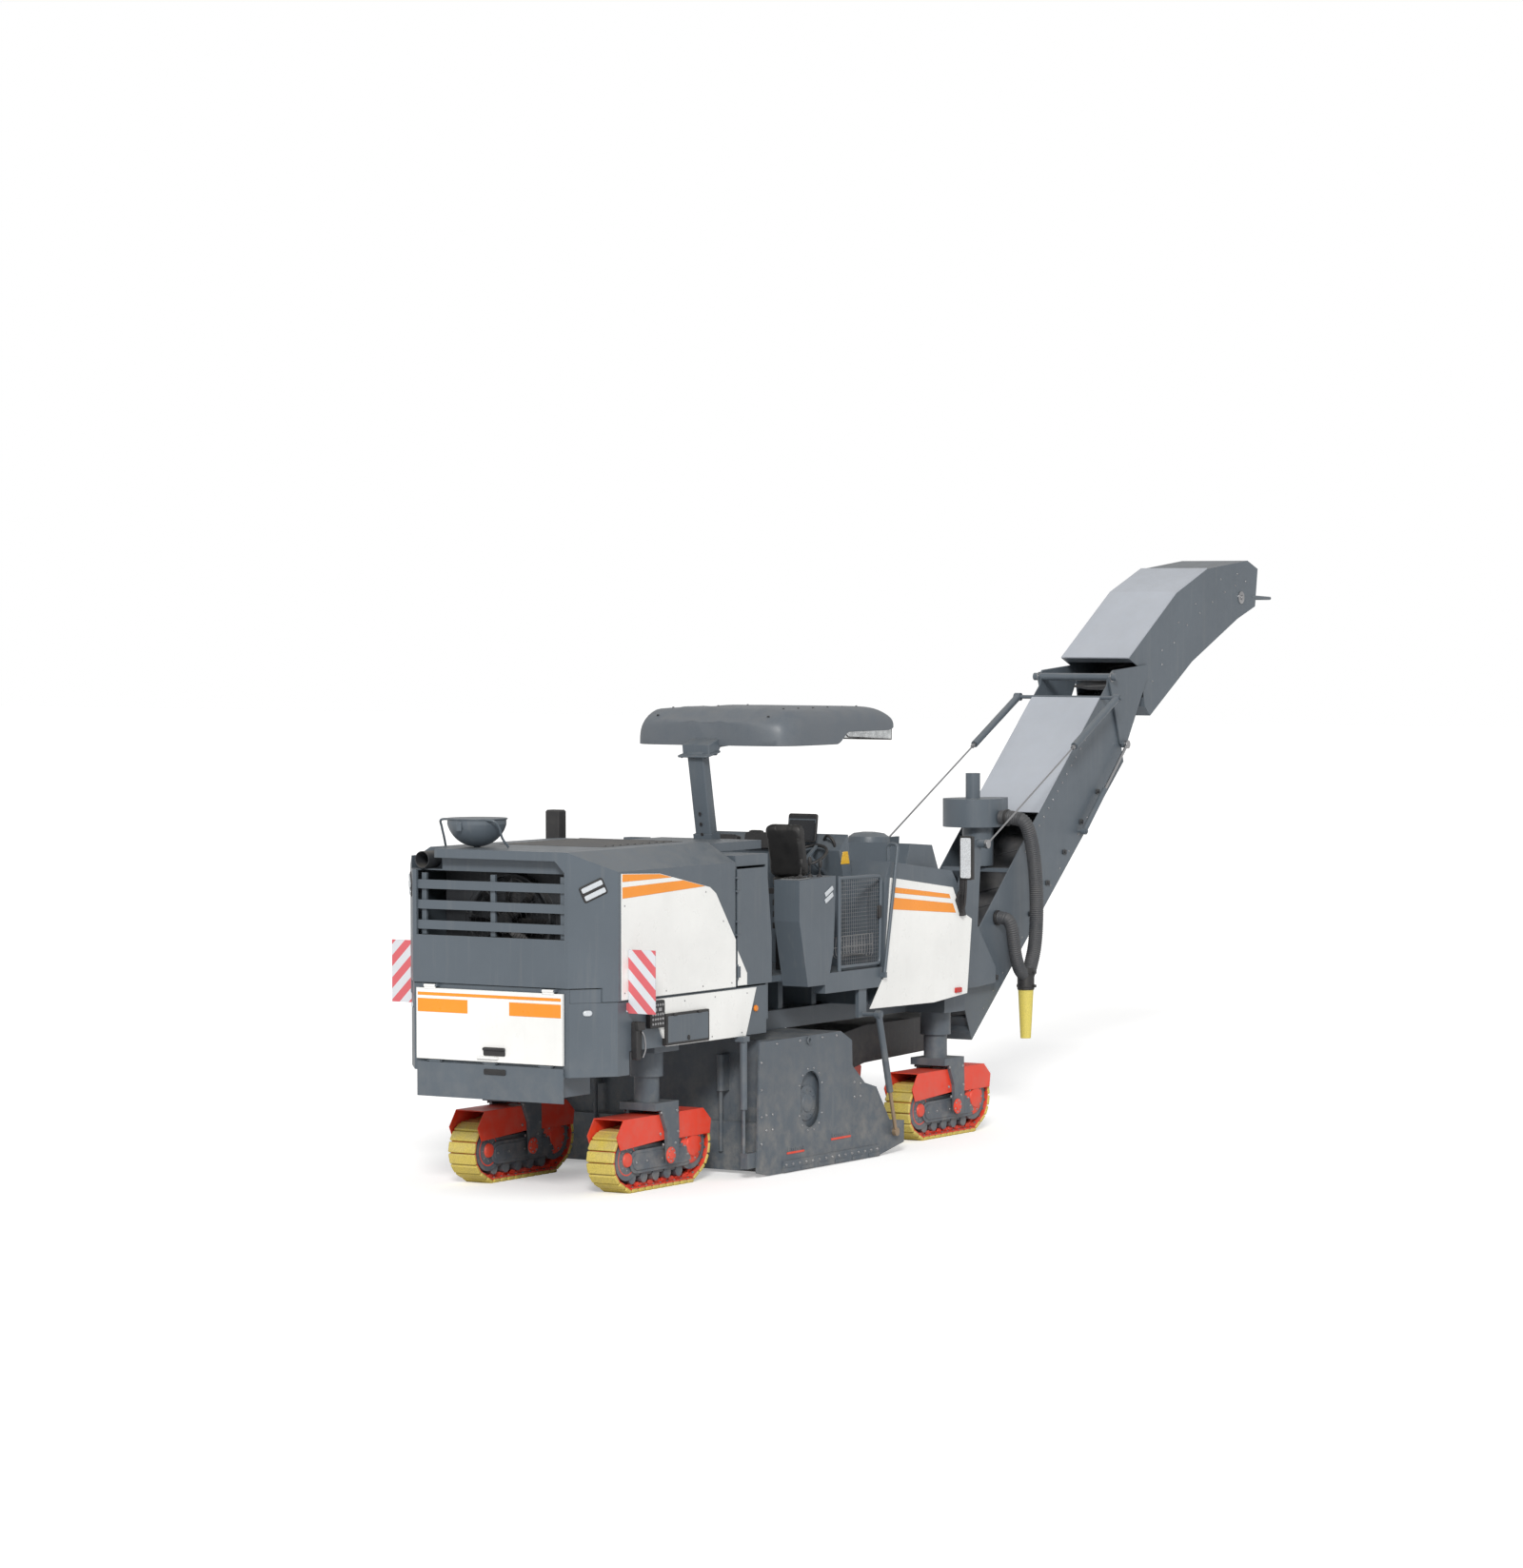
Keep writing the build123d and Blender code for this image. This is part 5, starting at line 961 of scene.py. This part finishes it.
for side_name, side in SIDES:
    body = f"gate_{side_name}_body"
    y, y0, y1 = (side * reach for reach in (1.110, 1.100, 0.985))
    frame_tubes = [tube(smooth_route([(x, y, z) for x, z in GATE_TUBE], steps=6), 0.017, 14),
                   turned(HINGE_BARREL, (GATE_REAR, y, 1.7903), sides=24)]
    mesh = [tube([(x, y, 1.832), (x, y, 2.664)], WIRE, 5)
            for x in np.arange(GATE_REAR + 0.045, -2.475, MESH_STEP)]
    mesh += [tube([(GATE_REAR + 0.01, y, z), (-2.462, y, z)], WIRE, 5)
             for z in np.arange(1.865, 2.65, MESH_STEP)]
    # the basket: bent wires from front to back, held by two rails and two end wires
    for x in np.linspace(-3.10, -2.58, 12):
        low = 1.905 + 0.02 * math.cos((x + 2.86) * 6)
        mesh.append(tube(smooth_route([(x, y0, 2.12), (x, y0, low + 0.02), (x, (y0 + y1) / 2, low),
                                       (x, y1, low + 0.03), (x, y1, 2.10)]), 0.0032, 6))
    for z in (2.12, 2.02):
        mesh += [tube([(-3.11, y0, z), (-2.57, y0, z)], 0.004, 6),
                 tube([(-3.11, y1, z - 0.02), (-2.57, y1, z - 0.02)], 0.004, 6)]
    mesh += [tube([(x, y0, 2.12), (x, y1, 2.10)], 0.004, 6) for x in (-3.11, -2.57)]
    gate = piece(f"gate_frame_{side_name}", frame_tubes, SLATE, body)
    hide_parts(f"access_gate_{side_name}")
    piece(f"gate_mesh_{side_name}", mesh, BARE, body)
    latch = plate((0.05, 0.12, 0.012), (-2.475, side * 1.098, 2.32), (-side, 0, 0), 0.034, 0.006)
    piece(f"gate_latch_{side_name}", latch, BLACK, body)
    reflectors.append(slab([(-0.080, -0.06), (0.080, -0.06), (0.045, 0.06), (-0.045, 0.06)],
                           (-2.585, side * 0.799, 2.83), (-side, 0, 0), UP, 0.006, 0.002))
piece("dash_reflectors", reflectors, YELLOW)
print("wheel, gates and reflectors")

# %% [markdown]
# ## Seat
# The operator's seat is moulded foam under stretched covering: a cushion and a back whose sides pull in at
# the waist. Each pad starts as a rounded block and is inflated as cloth, which gives the tight, slightly
# swollen faces of real upholstery. Piping is added after the inflation.

# %% Seat
SEAT_Y = -0.590
BLOCK_POWER = 0.30  # the lower, the squarer the block
VOXEL = 0.006
CLOTH_PRESSURE, CLOTH_FRAMES, SWELL_LIMIT = 4.0, 20, 0.012


def pad_form(half, middle, lean, waist=0.0, count=26):
    """A superellipsoid block of half sizes `half`, leaned about Y, drawn in at mid height by `waist`."""
    a, b = np.meshgrid(np.linspace(-np.pi / 2, np.pi / 2, count), np.linspace(0, TAU, 2 * count + 1)[:-1],
                       indexing="ij")
    cos_a, cos_b, sin_b, sin_a = (np.sign(wave) * np.abs(wave) ** BLOCK_POWER
                                  for wave in (np.cos(a), np.cos(b), np.sin(b), np.sin(a)))
    x, y, z = half[0] * cos_a * cos_b, half[1] * cos_a * sin_b, half[2] * sin_a
    y = y * (1 - waist * np.exp(-(z / (0.45 * half[2])) ** 2))
    tilt = math.radians(lean)
    points = np.stack([x * math.cos(tilt) - z * math.sin(tilt), y,
                       x * math.sin(tilt) + z * math.cos(tilt)], -1)
    return stacked(points + np.array(middle))


def inflated(pad):
    """Gives a pad an even mesh and blows it up as cloth; no point moves further than the swell limit."""
    for other in bpy.context.selected_objects:
        other.select_set(False)
    bpy.context.view_layer.objects.active = pad
    remesh = pad.modifiers.new("even", "REMESH")
    remesh.mode = "VOXEL"
    remesh.voxel_size = VOXEL
    bpy.ops.object.modifier_apply(modifier="even")
    start = np.empty(len(pad.data.vertices) * 3)
    pad.data.vertices.foreach_get("co", start)
    cloth = pad.modifiers.new("cloth", "CLOTH")
    cloth.settings.use_pressure = True
    cloth.settings.uniform_pressure_force = CLOTH_PRESSURE
    cloth.settings.effector_weights.gravity = 0
    cloth.settings.quality = 4
    for frame_number in range(1, CLOTH_FRAMES + 1):
        scene.frame_set(frame_number)
    bpy.ops.object.modifier_apply(modifier="cloth")
    scene.frame_set(1)
    moved = np.empty_like(start)
    pad.data.vertices.foreach_get("co", moved)
    step = (moved - start).reshape(-1, 3)
    length = np.maximum(np.linalg.norm(step, axis=1), 1e-9)
    step *= (np.minimum(length, SWELL_LIMIT) / length)[:, None]
    pad.data.vertices.foreach_set("co", (start.reshape(-1, 3) + step).ravel())
    pad.data.polygons.foreach_set("use_smooth", np.ones(len(pad.data.polygons), bool))
    pad.data.update()


cushion = piece("seat_cushion", pad_form((0.238, 0.218, 0.048), (-3.035, SEAT_Y, 2.617), -2.0), LEATHER)
backrest = piece("seat_back", pad_form((0.046, 0.212, 0.262), (-3.290, SEAT_Y, 2.925), 12.5, 0.10), LEATHER)
for pad in (cushion, backrest):
    inflated(pad)
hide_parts("seat")
PIPING = ((-3.24, 2.672), (-3.10, 2.678), (-2.95, 2.674), (-2.83, 2.660))
piping = [tube(smooth_route([(x, SEAT_Y + side * 0.165, z) for x, z in PIPING], steps=8), 0.0045, 8)
          for side in (-1, 1)]
piece("seat_piping", piping, BLACK)
print("seat pads", len(cushion.data.vertices), len(backrest.data.vertices))

# %% [markdown]
# ## Canopy
# The roof is one moulded glass-fibre shell: a low dome that turns down to a deep lip, thick at the rear and
# stepped up over the front, stiffened by shallow ribs. Its section is a superellipse whose height and width
# change along the roof. It stands on a bracket at the head of a telescoping post, and clear panes fill the
# gap below its raised front lip.

# %% Canopy
POST_FOOT = np.array([-3.770, 0.0, 3.040])
LEAN = math.radians(11)
UP_POST = np.array([-math.sin(LEAN), 0, math.cos(LEAN)])
ACROSS_POST = np.array([math.cos(LEAN), 0, math.sin(LEAN)])
ROOF_REAR, ROOF_FRONT, ROOF_HALF = -3.800, -1.600, 0.900
SIDE_POWER, CROWN_POWER = 9, 0.36


def smooth_step(value, low, high):
    """0 below low and 1 above high, with an even turn between."""
    t = np.clip((value - low) / (high - low), 0, 1)
    return t * t * (3 - 2 * t)


def crown_and_lip(along):
    """Heights of the dome's middle and of its lip at a fraction of the roof's length."""
    crown = 4.268 - 0.155 * (1 - smooth_step(along, -0.06, 0.16)) - 0.150 * smooth_step(along, 0.80, 1.06)
    return crown, 3.925 + 0.115 * smooth_step(along, 0.42, 0.52) + 0.045 * smooth_step(along, 0.85, 1.0)


def canopy_shell(rows=72, columns=112):
    """Rings across the roof; z = lip + (crown - lip) (1 - |y / w|^9)^0.36 over the top, lip underneath."""
    rings = []
    for along in 0.5 - 0.5 * np.cos(np.linspace(0.02, np.pi - 0.02, rows)):
        x = ROOF_REAR + (ROOF_FRONT - ROOF_REAR) * along
        width = ROOF_HALF * (1 - abs(2 * along - 1) ** 9) ** 0.22
        crown, lip = crown_and_lip(along)
        y = width * np.sin(np.linspace(-1, 1, columns // 2) * np.pi / 2)
        ribs = 0.010 * np.exp(-((np.abs(y) % 0.30 - 0.15) / 0.045) ** 2)
        ribs *= 1 - smooth_step(along, 0.30, 0.42)
        cross_rib = 0.008 * np.exp(-((along - 0.62) / 0.05) ** 2)
        shape = (1 - np.abs(y / max(width, 1e-6)) ** SIDE_POWER).clip(0) ** CROWN_POWER
        over = np.stack([np.full_like(y, x), y, lip + (crown + ribs + cross_rib - lip) * shape], -1)
        under = np.stack([np.full_like(y, x), y * 0.985, np.full_like(y, lip - 0.004)], -1)[::-1]
        rings.append(np.concatenate([over, under]))
    return stacked(rings)


shell = piece("canopy_shell", canopy_shell(), CANOPY, "canopy_body", smooth=50)
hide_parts("canopy_roof")
bracket = [plate((0.120, 0.170, 0.010), POST_FOOT - UP_POST * 0.560, ACROSS_POST, 1.400, 0.004, (0, 1, 0)),
           slab([(-3.960, 3.830), (-3.820, 3.830), (-3.760, 3.905), (-3.300, 3.935), (-3.300, 3.990),
                 (-3.760, 4.000), (-3.975, 3.930)], (0, 0.150, 0), X_AXIS, UP, 0.300, 0.008),
           plate((0.26, 0.34, 0.03), (-3.905, 0, 3.835), ACROSS_POST, 0.018, 0.004, (0, 1, 0))]
studs = [bolt(np.array([-3.905, y, 3.834]) + ACROSS_POST * x, -UP_POST, 0.011)
         for x in (-0.10, 0.10) for y in (-0.13, 0.0, 0.13)]
STUD_Y = 0.62
for along in np.linspace(0.06, 0.90, 8):
    crown, lip = crown_and_lip(along)
    z = lip + (crown - lip) * (1 - (STUD_Y / ROOF_HALF) ** SIDE_POWER) ** CROWN_POWER - 0.002
    studs += [bolt((ROOF_REAR + 2.2 * along, y, z), UP, 0.012) for y in (-STUD_Y, STUD_Y)]
studs.append(turned([(0.055, 0), (0.055, 0.02), (0.035, 0.05), (0.008, 0.055)], (-1.78, 0, 4.075),
                    (0, 0, -1), 28))
PANE_Y, PANE_FRONT = 0.845, -1.80
panes, edges = [], []
for y in (-PANE_Y, PANE_Y):
    panes.append(slab([(PANE_FRONT, 3.945), (-2.60, 3.985), (-2.70, 4.052), (PANE_FRONT, 4.060)], (0, y, 0),
                      X_AXIS, UP, 0.005, 0.001))
    edges.append(tube([(-2.70, y, 4.045), (-2.60, y, 3.985), (PANE_FRONT, y, 3.945), (PANE_FRONT, y, 4.055)],
                      0.006, 8))
panes.append(plate((1.69, 0.115, 0.01), (PANE_FRONT, 0, 4.000), (0, 1, 0), 0.005, 0.001))
edges.append(tube([(PANE_FRONT, -PANE_Y, 3.945), (PANE_FRONT, PANE_Y, 3.945)], 0.006, 8))
piece("canopy_bracket", bracket, SLATE, "canopy_body")
piece("canopy_studs", studs, DARK, "canopy_body")
piece("canopy_pane", panes, PANE, "canopy_body")
piece("pane_edges", edges, BLACK, "canopy_body")
# painted shade: these black dishes stand in for the shade inside the post's pin holes
hole_shade = [turned([(0.016, 0), (0.016, 0.003), (0.010, 0.004), (0.009, 0.001)],
                POST_FOOT + UP_POST * (0.22 + 0.10 * k - 0.36) - ACROSS_POST * 0.0762, -ACROSS_POST, 20)
         for k in range(5)]
piece("post_hole_shade", hole_shade, BLACK)
print("canopy shell", len(shell.data.vertices))

# %% [markdown]
# ## Hood, bowl and mirrors
# Slats over the engine let warm air out. The bowl at the rear hangs in a bent tube frame with a latch. The
# mirrors hold a thin silvered pane whose pale blue-grey colour is a painted reflection, and the front hood
# carries a dark lamp cluster. A dark filter housing stands on the left behind the platform.

# %% Hood, bowl and mirrors
slats = [plate((0.075, 1.02, 0.006), (-6.24 + 0.118 * k, 0, 3.079), (0.992, 0, 0.13), 0.007, 0.002, (0, 1, 0))
         for k in range(10)]
slats.append(plate((1.30, 1.16, 0.03), (-5.70, 0, 3.0795), (1, 0, 0), 0.003, 0.001, (0, 1, 0)))
piece("roof_slats", slats, DARK, "hood_body")
BOWL_Y = 0.420
BOWL_TUBE = ((-7.06, -0.130, 3.335), (-7.05, 0, 3.325), (-7.00, 0.030, 3.26), (-6.96, 0.035, 3.17),
             (-6.90, 0.060, 3.088))
bowl_frame = [tube(smooth_route([(x, BOWL_Y + side * (0.285 + y), z) for x, y, z in BOWL_TUBE]), 0.011, 10)
              for side in (-1, 1)]
bowl_frame.append(plate((0.05, 0.085, 0.01), (-7.163, BOWL_Y, 3.275), TO_RIGHT, 0.016, 0.004))
bowl_frame.append(turned([(0.272, 0.0), (0.276, 0.003), (0.276, 0.012), (0.10, 0.016), (0.01, 0.016)],
                         (-6.900, BOWL_Y, 3.330), sides=48))
piece("bowl_frame", bowl_frame, SLATE, "hood_body")
MIRROR_Y, MIRROR_Z, ARM_X = 1.220, 2.770, -0.985
MIRROR_ARM = ((1.150, 2.21), (1.190, 2.30), (1.205, 2.45), (1.210, 2.60))
LAMP_OUTLINE = [(-0.985, 2.200), (-0.900, 2.200), (-0.930, 2.310), (-1.000, 2.440), (-1.080, 2.360)]
panes, rims, arms, clusters, console_lamps, red_lamps = [], [], [], [], [], []
for side_name, side in SIDES:
    panes.append(plate((0.118, 0.395, 0.018), (-1.0105, side * MIRROR_Y, MIRROR_Z), TO_RIGHT, 0.003, 0.001))
    rims.append(plate((0.152, 0.432, 0.030), (-0.958, side * MIRROR_Y, MIRROR_Z), TO_RIGHT, 0.051, 0.012))
    arms.append(tube(smooth_route([(ARM_X, side * y, z) for y, z in MIRROR_ARM]), 0.014, 10))
    clusters.append(side_film(LAMP_OUTLINE, side, 1.128, 0.035))
    level = np.array([-side * math.cos(0.45), 0, math.sin(0.45)])
    for drop in (0.0, 0.062):
        console_lamps.append(plate((0.150, 0.044, 0.010), (-3.420, side * 1.1295, 2.560 - drop), level, 0.012,
                                   0.004, np.cross((0, side, 0), level)))
    red_lamps.append(plate((0.12, 0.050, 0.008), (-1.030, side * SKIN_Y, 1.475), (-side, 0, 0), 0.020, 0.005))
clusters.append(plate((0.130, 0.160, 0.02), (-4.785, 1.030, 2.958), (1, 0, 0), 0.370, 0.015, (0, 1, 0)))
piece("mirror_rims", rims + arms, BLACK)
# the mirror panes carry a painted reflection: a pale colour instead of a silvered metal
piece("mirror_panes", panes, MIRROR_PAINTED_REFLECTION)
piece("dark_housings", clusters, BLACK)
piece("console_lamps", console_lamps, LENS_CLEAR)
piece("front_red_lamps", red_lamps, LENS_RED)
SERVICE_FILM = [(-5.002, 1.775), (-4.843, 1.775), (-4.843, 1.883), (-5.002, 2.100)]
for side_name, side in SIDES:
    film = side_film(SERVICE_FILM, side, 1.130)
    piece(f"service_film_{side_name}", film, WHITE, f"service_door_{side_name}_body")
dome = turned([(0.21, 0.0), (0.21, 0.020), (0.20, 0.070), (0.15, 0.105), (0.06, 0.118), (0.01, 0.118)],
              (-1.400, -0.35, 2.905), (0.03, 0, 1), 48)
piece("hood_dome", dome, SLATE)
print("hood, bowl, mirrors and lamps")

# %% [markdown]
# ## Stage
# A wide pale floor and a pale sky. Both look white to the camera, while the machine is lit by a plain level
# sky and one soft sun low in the sky off the machine's right rear corner, whose shadow the floor keeps.

# %% Stage
FLOOR_HALF = 150
FLOOR_GLOW, SKY_LIGHT = 0.34, 0.62
SUN_FROM = (-0.75, -0.46, 0.48)
floor = bpy.data.objects.new("floor", bpy.data.meshes.new("floor"))
corners = [(x * FLOOR_HALF, y * FLOOR_HALF, 0) for x, y in ((-1, -1), (1, -1), (1, 1), (-1, 1))]
floor.data.from_pydata(corners, [], [(0, 1, 2, 3)])
scene.collection.objects.link(floor)


def camera_level(network, other, seen):
    """A number that is `seen` for what the camera sees directly and `other` for all other light."""
    return remap(network, wire(network, "LightPath"), 0.0, 1.0, other, seen)


ground = bpy.data.materials.new("floor_white")
ground.use_nodes = True
fill(ground.node_tree, ground.node_tree.nodes["Principled BSDF"],
     {"Base Color": (0.86, 0.86, 0.86, 1), "Roughness": 0.9, "Specular IOR Level": 0.1,
      "Emission Color": (1, 1, 1, 1), "Emission Strength": camera_level(ground.node_tree, 0.0, FLOOR_GLOW)})
floor.data.materials.append(ground)

sky = bpy.data.worlds.new("studio_sky")
scene.world = sky
sky.use_nodes = True
fill(sky.node_tree, sky.node_tree.nodes["Background"],
     {"Color": (1.0, 1.0, 1.0, 1), "Strength": camera_level(sky.node_tree, SKY_LIGHT, 1.0)})

sun = bpy.data.objects.new("sun", bpy.data.lights.new("sun", "SUN"))
sun.data.energy = 2.2
sun.data.angle = math.radians(12)
sun.data.color = (1.0, 0.98, 0.95)
sun.rotation_euler = Vector(SUN_FROM).to_track_quat("Z", "Y").to_euler()
scene.collection.objects.link(sun)
scene.view_settings.view_transform = "Standard"
print("stage ready")
